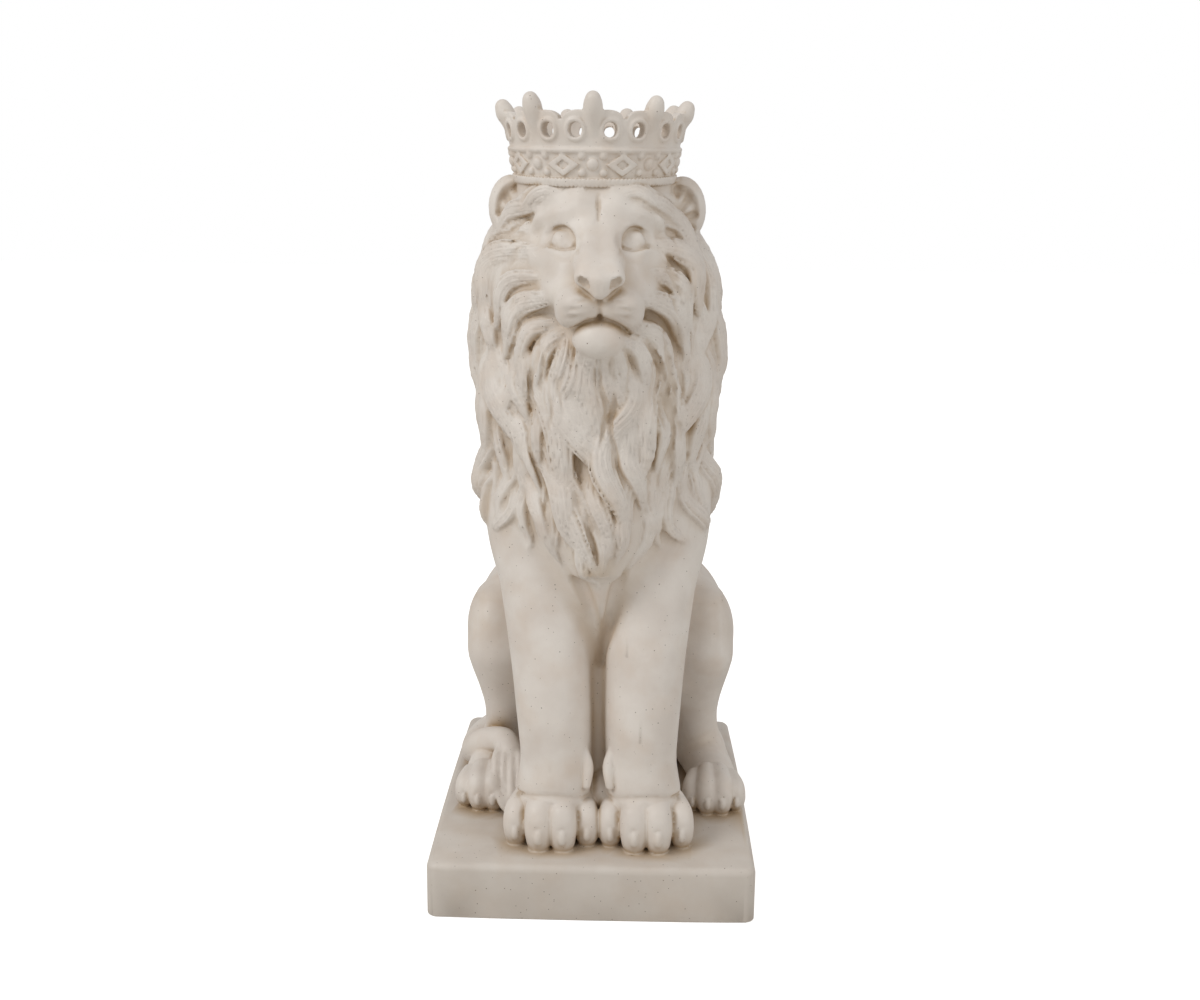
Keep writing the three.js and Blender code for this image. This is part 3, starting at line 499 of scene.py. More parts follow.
def mane_core(x, y, z):
    cy, a, b = mane_section(z[0, 0])
    ring = (np.hypot(x / a, (y - cy) / b) - 1) * np.minimum(a, b)
    past = np.maximum(150 - z, z - 317)
    return np.where(past > 0, np.hypot(np.maximum(ring, 0), np.maximum(past, 0)), ring)


clay_body.add([((-54, -72, 150), (54, 42, 317), mane_core)], 8)
clay_body.add(ball((0, -31, 268), (46, 35.5, 44)), 8)
for side in (1, -1):
    roll = [(side * 29.5 * math.sin(a), -31 - 29.5 * math.cos(a), 303.5 + 2.5 * math.cos(a), 5)
            for a in np.linspace(0.42, math.pi, 9)]
    clay_body.add(limb(roll, 24), 4)
clay_body.add(ball((0, -45, 240), (30, 26, 26)), 10)
clay_body.data = melt(clay_body.data, head.data, 3)


def seat(points, outward, depth=16.0):
    """Slides points along their outward directions until they lie on the clay."""
    points = np.array(points, float)
    steps = np.arange(depth, -depth, -0.5)
    track = points[:, None, :] + outward[:, None, :] * steps[None, :, None]
    inside = ground.sample(track.reshape(-1, 3)).reshape(len(points), -1) < 0
    first = np.where(inside.any(axis=1), inside.argmax(axis=1), len(steps) // 2)
    return points + outward * steps[first][:, None]


def comb(path, outward, width, strands, depth=0.5, tilt=0.0, blend=0.5):
    """Presses on a flattened band of hair, swelling in the middle and cut into strands."""
    count = len(path)
    t = np.linspace(0, 1, count)
    swell = np.clip(np.sin(np.pi * (0.07 + 0.93 * t) ** 0.8), 0, 1) ** 0.8
    half = 0.6 + (width - 0.6) * swell
    spans = path[1:] - path[:-1]
    low, high = path.min(axis=0) - width - 1, path.max(axis=0) + width + 1
    first, last = clay_body.window(low, high, 2.5)
    near = np.full(last - first, FAR, np.float32)
    aside = np.zeros(last - first, np.float32)
    for i in range(count - 1):
        a, span = path[i], spans[i]
        length2 = max(float(span @ span), 1e-6)
        out = outward[i] + outward[i + 1]
        beside = np.cross(span, out)
        beside = beside / max(np.linalg.norm(beside), 1e-6)
        out = np.cross(beside, span)
        out = out / max(np.linalg.norm(out), 1e-6)
        out, beside = (
            out * math.cos(tilt) + beside * math.sin(tilt),
            beside * math.cos(tilt) - out * math.sin(tilt),
        )
        reach = max(half[i], half[i + 1]) + 0.5
        box = np.minimum(a, path[i + 1]) - reach, np.maximum(a, path[i + 1]) + reach
        lo, hi = clay_body.window(*box, 2.5)
        if np.any(hi <= lo):
            continue
        x, y, z = clay_body.axes(lo, hi)
        dx, dy, dz = x - a[0], y - a[1], z - a[2]
        f = np.clip((dx * span[0] + dy * span[1] + dz * span[2]) / length2, 0, 1)
        dx, dy, dz = dx - f * span[0], dy - f * span[1], dz - f * span[2]
        size = half[i] + (half[i + 1] - half[i]) * f
        rise = dx * out[0] + dy * out[1] + dz * out[2]
        flat = np.sqrt(np.maximum(dx * dx + dy * dy + dz * dz - rise * rise, 0))
        over = (dx * beside[0] + dy * beside[1] + dz * beside[2]) / size
        groove = 0.24 * np.minimum(size, 4) * (1 - np.abs(np.cos(np.pi * strands * over / 2 + 0.6)))
        thick = size * depth + 0.5
        found = (np.hypot(flat / size, rise / thick) - 1) * thick + groove
        cell = tuple(slice(lo[k] - first[k], hi[k] - first[k]) for k in range(3))
        closer = found < near[cell]
        near[cell] = np.where(closer, found, near[cell])
        aside[cell] = np.where(closer, over * size, aside[cell])
    where = tuple(slice(first[k], last[k]) for k in range(3))
    old = clay_body.data[where]
    strand[where] = np.where(near < old, aside + random.uniform(0, 1.2), strand[where])
    clay_body.data[where] = melt(old, near, blend)


def around_mane(angle, z):
    """Point and outward direction on the mane's core, at an angle from the front."""
    cy, a, b = mane_section(np.array(z, float))
    outward = np.stack([np.sin(angle) / a, -np.cos(angle) / b, 0 * angle], axis=-1)
    outward = outward / np.linalg.norm(outward, axis=-1, keepdims=True)
    return np.stack([a * np.sin(angle), cy - b * np.cos(angle), z + 0 * angle], axis=-1), outward


def smoothstep(value, low, high):
    t = np.clip((value - low) / (high - low), 0, 1)
    return t * t * (3 - 2 * t)


def swing(angle, z):
    """How far round the hair swings for each millimetre that it falls."""
    front = math.exp(-(((abs(angle) - 0.6) / 0.55) ** 2))
    away = 0.017 * front * smoothstep(z, 235, 285)
    pull = 0.009 * (1 - smoothstep(z, 165, 235)) * abs(angle) if abs(angle) < 1.7 else 0
    return math.copysign(away - pull, angle)


ground = Clay(LOW, HIGH, GRAIN)
ground.data[:] = clay_body.data
strand = np.zeros(clay_body.size, np.float32)
random = np.random.default_rng(7)


def falling_lock(angle, z, length, width, lift, phase, snake=1.0):
    """Lays a lock that starts at an angle and height and falls with the hair's flow."""
    angles, heights = [angle], [z]
    pieces = 12
    for i in range(pieces):
        slope = swing(angles[-1], heights[-1])
        slope += snake * 0.0105 * math.cos(phase + 5.2 * i / pieces)
        down = length / pieces / math.hypot(1, slope * 50)
        angles.append(angles[-1] + slope * down)
        heights.append(heights[-1] - down)
    points, outward = around_mane(np.array(angles), np.array(heights))
    points = seat(points, outward)
    t = np.linspace(0, 1, pieces + 1)[:, None]
    points = points + outward * (lift * np.sin(np.pi * np.minimum(t + 0.1, 1)) - 2 * (1 - t) ** 2)
    comb(points, outward, width, width * 0.75, tilt=random.uniform(-0.35, 0.35))


def free_of_face(angle, z):
    if abs(angle) < 1.6 and z > 284:
        return False
    return abs(angle) * 50 > 34 or z < 247


# A short undercoat all round, so that hair shows in the bottom of every gap.
for row in range(12):
    z = 306 - 12 * row
    for i in range(26):
        turn = 2 * math.pi * (i + 0.5 * (row % 2)) / 26
        angle = turn - 2 * math.pi if turn > math.pi else turn
        z_root = z + random.uniform(-4, 4)
        if not free_of_face(angle, z_root) or z_root < 172 + 14 * abs(math.sin(angle)):
            continue
        falling_lock(angle, z_root, random.uniform(30, 40), random.uniform(4.4, 5.6), 0.6,
                     random.uniform(0, 2 * math.pi), 0.8)

# Sides and back: root height, angles from and to, number, length, width, lift.
TIERS = [
    (310, 1.35, 4.93, 10, 50, 6.2, 2.4),
    (290, 1.15, 5.13, 13, 58, 7.0, 3.4),
    (266, 1.0, 5.28, 15, 60, 7.2, 4.2),
    (238, 0.95, 5.33, 16, 58, 7.2, 4.4),
    (212, 0.95, 5.33, 15, 50, 6.6, 4.0),
]
for row, (z, start, stop, count, length, width, lift) in enumerate(TIERS):
    for i in range(count):
        turn = start + (stop - start) * (i + 0.5 + 0.25 * (row % 2)) / count
        angle = turn - 2 * math.pi if turn > math.pi else turn
        z_root = z + random.uniform(-6, 6)
        if not free_of_face(angle, z_root):
            continue
        falling_lock(
            angle,
            z_root,
            length * random.uniform(0.85, 1.2),
            width * random.uniform(0.75, 1.15),
            lift * random.uniform(0.8, 1.2),
            random.uniform(0, 2 * math.pi),
        )

# The front, as it is carved: root x and z, tip x and z, bow to the side, half-width.
FRONT = [
    # low on the breast
    (-26, 216, -6.5, 167, -5, 6.0),
    (-19, 190, 1, 150, -2, 4.8),
    (3, 201, 6, 158, 5, 5.2),
    (15, 181, 9.5, 158, 2.5, 4.2),
    (17, 214, 19, 177, 5, 5.4),
    (13, 232, 15, 190, -2, 5.0),
    (-19, 216, -2, 176, 3, 4.6),
    (-37, 218, -25, 193, -3, 5.0),
    (-39, 226, -37, 181, 3, 5.0),
    (-50, 230, -44, 191, 2, 5.0),
    (38, 216, 32, 184, 3, 5.6),
    (25, 226, 25, 192, -3, 4.6),
    (46, 226, 43, 192, 3, 5.0),
    # beard
    (-21, 238, 3, 192, -5, 5.6),
    (-9, 240, 4.5, 200, -4, 5.4),
    (3, 240, 14, 184, -6, 5.8),
    (21, 238, 27, 200, 3, 5.2),
    (-30, 240, -27, 212, 4, 5.0),
    (-33, 250, -28, 216, -4, 5.0),
    (33, 240, 36, 204, 4, 5.2),
    (-46, 242, -42, 206, 3, 5.4),
    (44, 246, 45, 210, -3, 5.2),
    # under the jaw and beside the cheeks
    (0, 246, 3, 206, 4, 4.8),
    (-5, 247, -7, 214, -2, 4.2),
    (5, 247, 9, 216, 2, 4.2),
    (-8, 246, -17, 212, -4, 4.8),
    (9, 246, 15, 210, 3, 4.8),
    (-12, 253, -25, 224, 4, 5.0),
    (11, 252, 24, 222, -3, 5.4),
    (10, 250, 17, 220, 2, 4.6),
    (-11, 251, -18, 222, -2, 4.6),
    (-15, 257, -34, 232, 6, 5.4),
    (15, 256, 32, 230, -4, 5.6),
    (-18, 266, -39, 238, 8, 5.6),
    (20, 267, 40, 238, -6, 5.8),
    (-22, 274, -42, 250, 8, 4.2),
    (23, 277, 40, 250, -6, 5.0),
    (-24, 284, -48, 254, 10, 6.4),
    (24, 288, 43, 256, -8, 6.2),
    (-25, 293, -49, 270, 9, 5.6),
    (20, 299, 44, 276, -7, 5.2),
    # over the brow and under the ears
    (-21, 301, -43, 290, 5, 4.6),
    (17, 304, 38, 291, -4, 4.6),
    (-12, 307, -33, 299, 4, 3.6, 1.8),
    (10, 307, 30, 299, -4, 3.6, 1.8),
    (-15, 309, -34, 304, 3, 2.4, 1.2),
    (13, 309, 31, 304, -3, 2.4, 1.2),
]


def facing(points):
    """Directions out of the clay at points."""
    slope = np.zeros((len(points), 3))
    for axis in range(3):
        step = np.zeros(3)
        step[axis] = 2.5
        slope[:, axis] = ground.sample(points + step) - ground.sample(points - step)
    return slope / np.maximum(np.linalg.norm(slope, axis=1, keepdims=True), 1e-6)


def eased(rows, times=3):
    rows = rows.copy()
    for _ in range(times):
        rows[1:-1] = (rows[:-2] + 2 * rows[1:-1] + rows[2:]) / 4
    return rows


def front_lock(x0, z0, x1, z1, bow, width, rise=3.0):
    """Lays a lock across the front, bowed one way and back the other like an S."""
    t = np.linspace(0, 1, 15)
    run = np.array([x1 - x0, z1 - z0], float)
    across_run = np.array([run[1], -run[0]]) / np.hypot(*run)
    sway = bow * (np.sin(np.pi * t) * 0.8 + 0.5 * np.sin(2 * np.pi * t))
    x = x0 + run[0] * t + across_run[0] * sway
    z = z0 + run[1] * t + across_run[1] * sway
    cy, a, b = mane_section(z)
    angle = np.arcsin(np.clip(x / a, -0.97, 0.97))
    _, outward = around_mane(angle, z)
    turned = np.clip((np.abs(x) - 36) / 12, 0, 1)[:, None]
    approach = outward * turned + np.array([0, -1, 0]) * (1 - turned)
    approach = approach / np.linalg.norm(approach, axis=1, keepdims=True)
    start = np.stack([x, cy - b * np.cos(angle), z], axis=-1)
    points = eased(seat(start, approach, 60), 7)
    outward = eased(facing(points))
    outward = outward / np.linalg.norm(outward, axis=1, keepdims=True)
    lift = (rise * np.sin(np.pi * np.minimum(t * 0.85 + 0.1, 1)) - 2.6 * (1 - t) ** 2)[:, None]
    tilt = random.uniform(-0.45, 0.45)
    comb(points + outward * lift, outward, width * 1.08, width * 0.95, tilt=tilt)


for row in FRONT:
    front_lock(*row)

# Broad locks that sweep over the rest of the beard.
for row in (
    (-30, 236, -7, 176, -8, 6.6, 4.6),
    (-13, 243, 5, 187, 7, 6.4, 4.8),
    (12, 243, 2, 198, -8, 5.8, 4.6),
    (6, 215, 12, 166, 6, 6.0, 5.0),
    (30, 238, 17, 188, 7, 6.2, 4.6),
    (-24, 200, -8, 161, -5, 5.6, 4.6),
    (-40, 244, -30, 200, 6, 6.2, 4.4),
    (40, 246, 31, 202, -6, 6.2, 4.4),
):
    front_lock(*row)


def combed_flow(x, z, phase):
    """A line that the front's hair follows from a point: out past the cheek, then down."""
    line = [(x, z)]
    for i in range(random.integers(12, 22)):
        away = 1.3 * smoothstep(z, 225, 300) * (1 - smoothstep(abs(x), 33, 47))
        inward = 0.3 * abs(x) / 40 * (1 - smoothstep(z, 190, 235))
        lean_out = math.copysign(away - inward, x) + 0.28 * math.sin(phase + 0.55 * i)
        step = 2.2 / math.hypot(lean_out, 1)
        x, z = x + lean_out * step, z - step
        line.append((x, z))
    return line


# Thin wisps laid over the gaps of the front, falling the same way.
for i in range(14):
    z0 = random.uniform(188, 256)
    x0 = random.uniform(-46, 46) * (0.55 + 0.45 * smoothstep(z0, 170, 215))
    if z0 > 240 and abs(x0) < 20:
        continue
    length = random.uniform(24, 40)
    gathered = 0.012 * x0 * (1 - smoothstep(z0, 190, 235))
    drift = math.copysign(0.45, x0) * smoothstep(z0, 225, 262) - gathered
    front_lock(
        x0,
        z0,
        x0 + length * (drift + random.uniform(-0.12, 0.12)),
        z0 - length,
        random.uniform(-3, 3),
        random.uniform(2.6, 4.0),
        random.uniform(3.2, 4.6),
    )

# Grooves run with the gouge between and along the front's locks.
for i in range(90):
    z0 = random.uniform(232, 304)
    edge = 27 * smoothstep(z0, 240, 262) - 6 * smoothstep(z0, 290, 306)
    x0 = math.copysign(random.uniform(edge, 36), random.uniform(-1, 1))
    line = [point for point in combed_flow(x0, z0, random.uniform(0, 6.3)) if abs(point[0]) < 37]
    if len(line) < 5:
        continue
    deep = random.uniform(0.6, 1.25)
    swell = np.sin(np.pi * np.linspace(0.06, 0.97, len(line)))
    cut = on_front(clay_body, [(x, z, deep * w) for (x, z), w in zip(line, swell)], -0.2)
    clay_body.cut(limb(eased(np.array(cut), 6), 2 * len(line)), 0.6, 2.0)

# Short locks hang below each ear and behind the cheek.
for side in (1, -1):
    for turn, z_root, length, width in (
        (1.0, 270, 40, 5.2),
        (1.14, 284, 46, 5.8),
        (1.34, 291, 54, 6.4),
        (1.56, 297, 56, 6.2),
        (1.78, 302, 52, 5.8),
    ):
        falling_lock(side * turn, z_root, length, width, 3.0, z_root + side)


def fill_undercuts(block, low, high, reach, spare):
    """Makes deep narrow gaps shallower, as rubber mould walls too thin to stand are left out."""
    first, last = block.window(np.array(low), np.array(high), 0)
    where = tuple(slice(first[i], last[i]) for i in range(3))
    x, y, z = block.axes(first, last)
    near = np.clip(block.data[where], -4, 4)
    cells = max(1, round(reach / block.step))
    for axis in (0, 1, 2, 0, 1, 2):
        padded = np.concatenate([np.take(near, [0] * (cells + 1), axis), near,
                                 np.take(near, [-1] * cells, axis)], axis)
        total = np.cumsum(padded, axis=axis, dtype=np.float64)
        ahead = np.take(total, range(2 * cells + 1, total.shape[axis]), axis)
        behind = np.take(total, range(0, total.shape[axis] - 2 * cells - 1), axis)
        near = ((ahead - behind) / (2 * cells + 1)).astype(np.float32)
    face = 1 - smoothstep(np.hypot(x / 24, (z - 278) / 27), 0.85, 1.05)
    kept = 4 * np.maximum(face, 1 - smoothstep(z, 150, 165)) + 4 * smoothstep(z, 306, 312)
    filled = near + spare + kept
    block.data[where] = melt(block.data[where], filled, 0.8)


fill_undercuts(clay_body, (-74, -104, 146), (74, 60, 316), 2.4, 0.8)

# ---------------------------------------------------------------------------
# Crown. An open circlet of nine bays, cast with the head that fills its foot:
# a beaded band of lozenges, a moulding, round piercings and nine knobs.
# ---------------------------------------------------------------------------
CROWN_MIDDLE = np.array([0.1, -31.0, 312.9])
CROWN_FOOT, CROWN_FLARE, CROWN_DIP, CROWN_TOP = 33.0, 0.2, 0.085, 34.0
CROWN_LEAN = np.array([-2.5, 0, 0])
CROWN_WALL, HOLE_AT, HOLE_HEIGHT, HOLE_RADIUS = 3.6, 0.19, 20.5, 2.7
BAY = 2 * math.pi / 9
crown = Clay((-47, -47, -9), (47, 47, 40), 0.5)
x, y, z = crown.axes((0, 0, 0), crown.size)
angle = np.arctan2(x, -y) + 0 * z
radius = np.hypot(x, y) + 0 * z
wall_radius = CROWN_FOOT + CROWN_FLARE * np.maximum(z, 0)
out = radius - wall_radius
bay_angle = (angle + BAY / 2) % BAY - BAY / 2
from_knob = np.abs(bay_angle)
gem_angle = angle % BAY - BAY / 2


lobe = 1 - ((from_knob - 0.165) / 0.16) ** 2
rim = 24.4 + 3.1 * np.sqrt(np.clip(lobe, 0, 1))
wall = np.maximum(out, -out - CROWN_WALL)
shape = np.maximum(wall, np.maximum(z - rim, -6 - z))
shape = melt(shape, np.maximum(out, np.maximum(z - 4, -6 - z)))
hole_across, hole_up = (from_knob - HOLE_AT) * wall_radius, z - HOLE_HEIGHT
hole = 0.15 * np.maximum(np.abs(hole_across), np.abs(hole_up)) + 0.85 * np.hypot(hole_across, hole_up)
ring = np.hypot(hole - 3.5, out - 0.1) - 0.9
shape = melt(shape, np.maximum(ring, z - rim), 0.6)
shape = np.maximum(shape, HOLE_RADIUS - hole)
for height, size in ((13.1, 1.15), (1.5, 1.4)):
    shape = melt(shape, np.hypot(z - height, out) - size, 0.5)
for height, size, pitch in ((0.4, 0.8, 1.63), (2.5, 0.8, 1.63), (13.1, 0.55, 1.4)):
    count = round(2 * math.pi * CROWN_FOOT / pitch)
    step = 2 * math.pi / count
    along = ((angle + step / 2) % step - step / 2) * wall_radius
    proud = 0.8 if height > 5 else 0.7
    shape = melt(shape, np.sqrt(along**2 + (z - height) ** 2 + (out - proud) ** 2) - size, 0.2)
along = bay_angle * wall_radius
shape = melt(shape, np.sqrt(along**2 + (z - 8.2) ** 2 + (out * 1.4) ** 2) - 2.4, 0.3)
for dx in (-4.3, 4.3):
    for dz in (-3.1, 3.1):
        bead = np.sqrt((along - dx) ** 2 + (z - 8.2 - dz) ** 2 + (out * 1.2) ** 2) - 1.65
        shape = melt(shape, bead, 0.3)
gem = np.abs(gem_angle * wall_radius) / 6.7 + np.abs(z - 8) / 4.3 - 1
shape = melt(shape, np.maximum(np.maximum(gem * 3.6, out - 1.0), -out - 1), 0.3)
sunk = np.abs(gem_angle * wall_radius) / 2.6 + np.abs(z - 8) / 1.8 - 1
shape = np.maximum(shape, -np.maximum(sunk * 1.6, -(out - 0.1)))
crown.data = np.minimum(crown.data, shape.astype(np.float32))
for i in range(9):
    a = i * BAY
    tip = CROWN_TOP - 1.2 * (1 - math.cos(a)) + 0.6 * math.sin(5 * i)

    def on_wall(height, proud):
        r = CROWN_FOOT + CROWN_FLARE * height + proud
        return (r * math.sin(a), -r * math.cos(a), height)

    knob = [
        (*on_wall(20, -1.6), 2.0),
        (*on_wall(25, -1.2), 3.4),
        (*on_wall(tip - 5.5, -0.6), 3.9),
        (*on_wall(tip - 3.2, 0.0), 3.2),
    ]
    crown.add(limb(knob, 10), 1.2)


def crown_bowl(x, y, z):
    rise = z - CROWN_MIDDLE[2] - CROWN_DIP * (y - CROWN_MIDDLE[1])
    side = np.hypot(x - CROWN_MIDDLE[0], y - CROWN_MIDDLE[1])
    return np.maximum(side - (CROWN_FOOT + CROWN_FLARE * rise - 1.8), 2 - rise)


clay_body.cut([((-40, -72, 308), (40, 12, 326), crown_bowl)], 0.1)

# ---------------------------------------------------------------------------
# The casting. The clay is moulded and cast in one pour, so lion, plinth and
# crown become one closed skin. It leans a little to the lion's right as it rises.
# ---------------------------------------------------------------------------
clay.data = melt(clay.data, clay_body.data, 1.6)
hair = Clay(LOW, HIGH, GRAIN)
hair.data = strand
del clay_body, head, ground


def skin(block):
    """Vertices in millimetres and triangles of a block's zero surface."""
    grid = openvdb.FloatGrid(FAR)
    grid.copyFromArray(block.data)
    grid.gridClass = openvdb.GridClass.LEVEL_SET
    points, quads = grid.convertToQuads(0.0)
    points = points * block.step + block.low
    return points, quads


LEAN_LOW, LEAN_ACROSS, LEAN_HEIGHT = 3, 5.5, 299


def lean(z):
    """How far the casting stands aside at a height."""
    return LEAN_LOW - LEAN_ACROSS * np.clip((z - PLINTH_TOP) / LEAN_HEIGHT, 0, 1.2)


def cast(name, block, place):
    points, quads = skin(block)
    mesh = bpy.data.meshes.new(name)
    mesh.vertices.add(len(points))
    mesh.loops.add(len(quads) * 4)
    mesh.polygons.add(len(quads))
    mesh.vertices.foreach_set("co", points.astype(np.float32).ravel())
    mesh.loops.foreach_set("vertex_index", quads.astype(np.int32).ravel())
    mesh.polygons.foreach_set("loop_start", np.arange(0, len(quads) * 4, 4, dtype=np.int32))
    mesh.update(calc_edges=True)
    normals = np.zeros(len(points) * 3, np.float32)
    mesh.vertices.foreach_get("normal", normals)
    normals = normals.reshape(-1, 3)
    if np.mean(block.sample(points[::50] + normals[::50])) < 0:
        mesh.flip_normals()
        normals = -normals
    mesh.vertices.foreach_set("co", (place(points) / 1000).astype(np.float32).ravel())
    mesh.update()
    piece = bpy.data.objects.new(name, mesh)
    bpy.context.collection.objects.link(piece)
    return piece


def lean_lion(points):
    return points + np.stack([lean(points[:, 2]), 0 * points[:, 0], 0 * points[:, 0]], axis=-1)


def seat_crown(points):
    fade = 1 - points[:, 2] / CROWN_TOP
    placed = points + CROWN_MIDDLE + CROWN_LEAN
    placed[:, 2] += CROWN_DIP * fade * points[:, 1]
    return placed


def apply_modifiers(piece):
    graph = bpy.context.evaluated_depsgraph_get()
    flat = bpy.data.meshes.new_from_object(piece.evaluated_get(graph))
    piece.modifiers.clear()
    old, piece.data = piece.data, flat
    bpy.data.meshes.remove(old)


lion = cast("crowned_lion_casting", clay, lean_lion)
circlet = cast("circlet", crown, seat_crown)
LION_FACES, CROWN_FACES = 140000, 50000
for piece, most in ((lion, LION_FACES), (circlet, CROWN_FACES)):
    share = most / (2 * len(piece.data.polygons))
    if share < 1:
        thin = piece.modifiers.new("thin", "DECIMATE")
        thin.ratio = share
        apply_modifiers(piece)
join = lion.modifiers.new("join", "BOOLEAN")
join.operation = "UNION"
join.solver = "EXACT"
join.object = circlet
apply_modifiers(lion)
bpy.data.objects.remove(circlet)
lion.data.shade_smooth()

# Hollows, 0 in the open to 1 in a deep gap, for the ochre darkening laid in them:
# partly the wash that was rubbed on and wiped off, partly painted shade; and the
# distance across each lock of hair, for its fine strands.
count = len(lion.data.vertices)
points, normals = np.zeros(count * 3, np.float32), np.zeros(count * 3, np.float32)
lion.data.vertices.foreach_get("co", points)
lion.data.vertices.foreach_get("normal", normals)
points, normals = points.reshape(-1, 3) * 1000, normals.reshape(-1, 3)
in_clay = points - np.stack([lean(points[:, 2]), 0 * points[:, 0], 0 * points[:, 0]], axis=-1)
in_crown = points - CROWN_MIDDLE - CROWN_LEAN
in_crown[:, 2] -= CROWN_DIP * in_crown[:, 1]
in_crown[:, 2] /= 1 - CROWN_DIP * in_crown[:, 1] / CROWN_TOP
shut = np.zeros(count)
for reach in (1.5, 3.0, 6.0):
    gap = clay.sample(in_clay + normals * reach)
    high = in_crown[:, 2] > -4
    gap[high] = np.minimum(gap[high], crown.sample((in_crown + normals * reach)[high]))
    shut += np.clip(1 - gap / reach, 0, 1) / 3
for name, value in (("hollow", shut), ("strand", hair.sample(in_clay))):
    layer = lion.data.attributes.new(name, "FLOAT", "POINT")
    layer.data.foreach_set("value", value.astype(np.float32))
del clay, crown, hair


def linear(hex_colour):
    """An sRGB hex colour as the linear numbers that shaders want."""
    parts = [int(hex_colour[i : i + 2], 16) / 255 for i in (1, 3, 5)]
    return [c / 12.92 if c <= 0.04045 else ((c + 0.055) / 1.055) ** 2.4 for c in parts] + [1]


def add_node(tree, kind, links=None, **settings):
    """Adds a node, sets its properties or unlinked inputs, and links its inputs."""
    node = tree.nodes.new(kind)
    for name, value in settings.items():
        if hasattr(node, name):
            setattr(node, name, value)
        else:
            node.inputs[name.replace("_", " ")].default_value = value
    for name, source in (links or {}).items():
        tree.links.new(source, node.inputs[name])
    return node


# Cast polyester resin filled with pale stone powder: a creamy, faintly mottled
# body with a soft satin skin, dark grains of the filler, and an ochre darkening in
# hollows that is partly wash and partly painted shade.
resin = bpy.data.materials.new("cast_stone_resin")
resin.use_nodes = True
tree = resin.node_tree
tree.nodes.clear()
place = add_node(tree, "ShaderNodeTexCoord").outputs["Object"]
mottle = add_node(tree, "ShaderNodeTexNoise", {"Vector": place}, Scale=55.0, Detail=5.0)
body = add_node(tree, "ShaderNodeValToRGB", {"Fac": mottle.outputs["Fac"]})
body.color_ramp.elements[0].position = 0.34
body.color_ramp.elements[0].color = linear("#D7CDC3")
body.color_ramp.elements[1].position = 0.66
body.color_ramp.elements[1].color = linear("#E2DAD1")
cloud = add_node(tree, "ShaderNodeTexNoise", {"Vector": place}, Scale=60.0, Detail=8.0)
patch = add_node(
    tree, "ShaderNodeMapRange", {"Value": cloud.outputs["Fac"]}, From_Min=0.48, From_Max=0.75, To_Max=0.28
)
patchy = add_node(tree, "ShaderNodeMix", data_type="RGBA")
tree.links.new(patch.outputs["Result"], patchy.inputs[0])
tree.links.new(body.outputs["Color"], patchy.inputs[6])
patchy.inputs[7].default_value = linear("#C9AE93")  # the ochre wash never quite wipes off
height = add_node(tree, "ShaderNodeSeparateXYZ", {"Vector": place}).outputs["Z"]
low_down = add_node(tree, "ShaderNodeMapRange", {"Value": height}, From_Min=0.036, From_Max=0.022)
low_grey_share = add_node(tree, "ShaderNodeMath", {"Value": low_down.outputs["Result"]}, operation="MULTIPLY")
low_grey_share.inputs[1].default_value = 0.4  # the colour turns greyer towards the bottom, over the plinth
low_greyed = add_node(tree, "ShaderNodeMix", data_type="RGBA")
tree.links.new(low_grey_share.outputs[0], low_greyed.inputs[0])
tree.links.new(patchy.outputs[2], low_greyed.inputs[6])
low_greyed.inputs[7].default_value = linear("#AFA598")
hollow = add_node(tree, "ShaderNodeAttribute", attribute_name="hollow")
# Ochre darkening in the hollows, from the hollow measure: partly a real wash, partly painted shade.
wash_and_shade_depth = add_node(
    tree, "ShaderNodeMapRange", {"Value": hollow.outputs["Fac"]}, From_Min=0.25, From_Max=1.0
)
wash_and_shade = add_node(tree, "ShaderNodeMix", data_type="RGBA")
tree.links.new(wash_and_shade_depth.outputs["Result"], wash_and_shade.inputs[0])
tree.links.new(low_greyed.outputs[2], wash_and_shade.inputs[6])
wash_and_shade.inputs[7].default_value = linear("#B09673")
grains = add_node(tree, "ShaderNodeTexVoronoi", {"Vector": place}, Scale=412.0)
pick = add_node(tree, "ShaderNodeSeparateColor", {"Color": grains.outputs["Color"]})
few = add_node(tree, "ShaderNodeMath", {"Value": pick.outputs["Red"]}, operation="GREATER_THAN")
few.inputs[1].default_value = 0.45
small = add_node(tree, "ShaderNodeMath", {"Value": grains.outputs["Distance"]}, operation="LESS_THAN")
small.inputs[1].default_value = 0.1
speck = add_node(tree, "ShaderNodeMath", {"Value": few.outputs[0]}, operation="MULTIPLY")
tree.links.new(small.outputs[0], speck.inputs[1])
faint = add_node(tree, "ShaderNodeMath", {"Value": speck.outputs[0]}, operation="MULTIPLY")
tree.links.new(pick.outputs["Green"], faint.inputs[1])
coloured = add_node(tree, "ShaderNodeMix", data_type="RGBA")
tree.links.new(faint.outputs[0], coloured.inputs[0])
tree.links.new(wash_and_shade.outputs[2], coloured.inputs[6])
coloured.inputs[7].default_value = linear("#76685A")
fine = add_node(tree, "ShaderNodeTexNoise", {"Vector": place}, Scale=900.0, Detail=3.0)
pores = add_node(
    tree, "ShaderNodeBump", {"Height": fine.outputs["Fac"]}, Strength=0.15, Distance=0.0002
)
combed = add_node(tree, "ShaderNodeAttribute", attribute_name="strand")
turns = add_node(tree, "ShaderNodeMath", {"Value": combed.outputs["Fac"]}, operation="MULTIPLY")
turns.inputs[1].default_value = 2 * math.pi / 1.3  # a fine strand every 1.3 mm across a lock
wave = add_node(tree, "ShaderNodeMath", {"Value": turns.outputs[0]}, operation="SINE")
bump = add_node(
    tree,
    "ShaderNodeBump",
    {"Height": wave.outputs[0], "Normal": pores.outputs["Normal"]},
    Strength=0.2,
    Distance=0.0002,
)
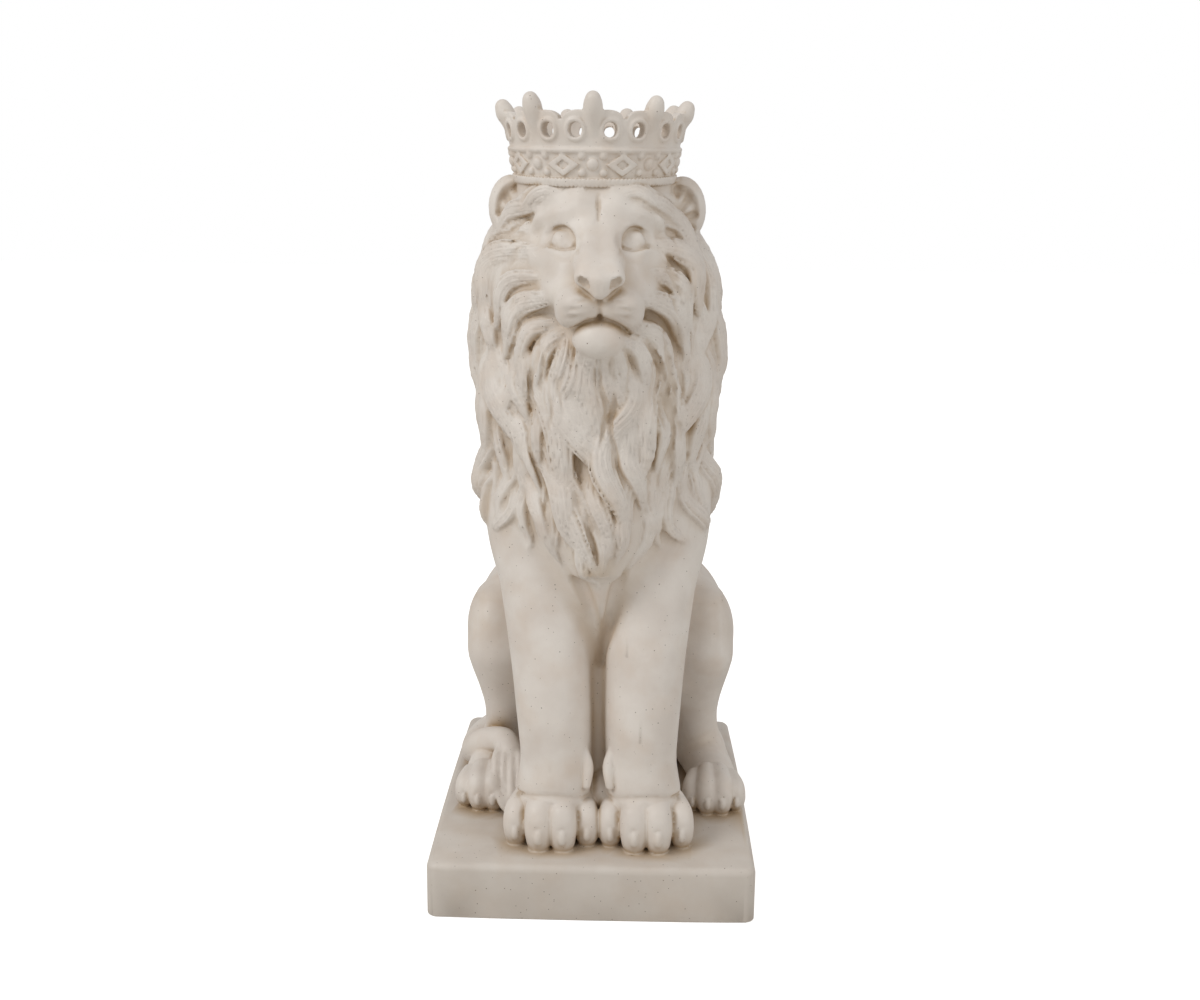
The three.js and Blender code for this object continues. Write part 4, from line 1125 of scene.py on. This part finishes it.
shader = add_node(
    tree,
    "ShaderNodeBsdfPrincipled",
    {"Base Color": coloured.outputs[2], "Normal": bump.outputs["Normal"]},
    Roughness=0.5,
    IOR=1.5,
)
add_node(tree, "ShaderNodeOutputMaterial", {"Surface": shader.outputs["BSDF"]})
lion.data.materials.clear()
lion.data.materials.append(resin)
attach(lion, "root")
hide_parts("crowned_lion")

# ---------------------------------------------------------------------------
# Floor and light. A plain white sweep under large, soft studio lights: a key
# high on the left, a broad fill from the right, and pale walls all round.
# ---------------------------------------------------------------------------
bpy.ops.mesh.primitive_plane_add(size=12)
floor = bpy.context.object
floor.name = "floor"
paper = bpy.data.materials.new("white_paper")
paper.use_nodes = True
coat = paper.node_tree.nodes["Principled BSDF"]
coat.inputs["Base Color"].default_value = linear("#D8D6D2")
coat.inputs["Roughness"].default_value = 0.9
coat.inputs["Emission Color"].default_value = (1, 1, 1, 1)
# The sweep looks pure white but sends little of that light back onto the lion.
looked_at = add_node(paper.node_tree, "ShaderNodeLightPath").outputs["Is Camera Ray"]
burnt = add_node(paper.node_tree, "ShaderNodeMath", {"Value": looked_at}, operation="MULTIPLY")
burnt.inputs[1].default_value = 0.75
paper.node_tree.links.new(burnt.outputs[0], coat.inputs["Emission Strength"])
floor.data.materials.append(paper)

world = bpy.data.worlds.new("studio")
world.use_nodes = True
sky = world.node_tree
glow = sky.nodes["Background"]
glow.inputs["Color"].default_value = (1, 1, 1, 1)
seen = add_node(sky, "ShaderNodeLightPath")
strength = add_node(sky, "ShaderNodeMapRange", {"Value": seen.outputs["Is Camera Ray"]})
strength.inputs["To Min"].default_value = 0.56
strength.inputs["To Max"].default_value = 1.0
sky.links.new(strength.outputs["Result"], glow.inputs["Strength"])
bpy.context.scene.world = world


def soft_light(name, place, size, power):
    lamp = bpy.data.lights.new(name, "AREA")
    lamp.size = size
    lamp.energy = power
    holder = bpy.data.objects.new(name, lamp)
    holder.location = place
    towards = Vector((0, 0, 0.17)) - Vector(place)
    holder.rotation_euler = towards.to_track_quat("-Z", "Y").to_euler()
    bpy.context.collection.objects.link(holder)


soft_light("key", (-1.15, -0.85, 1.3), 0.8, 12)
soft_light("fill", (1.4, -0.9, 0.9), 1.2, 5)
bpy.context.scene.view_settings.view_transform = "Standard"
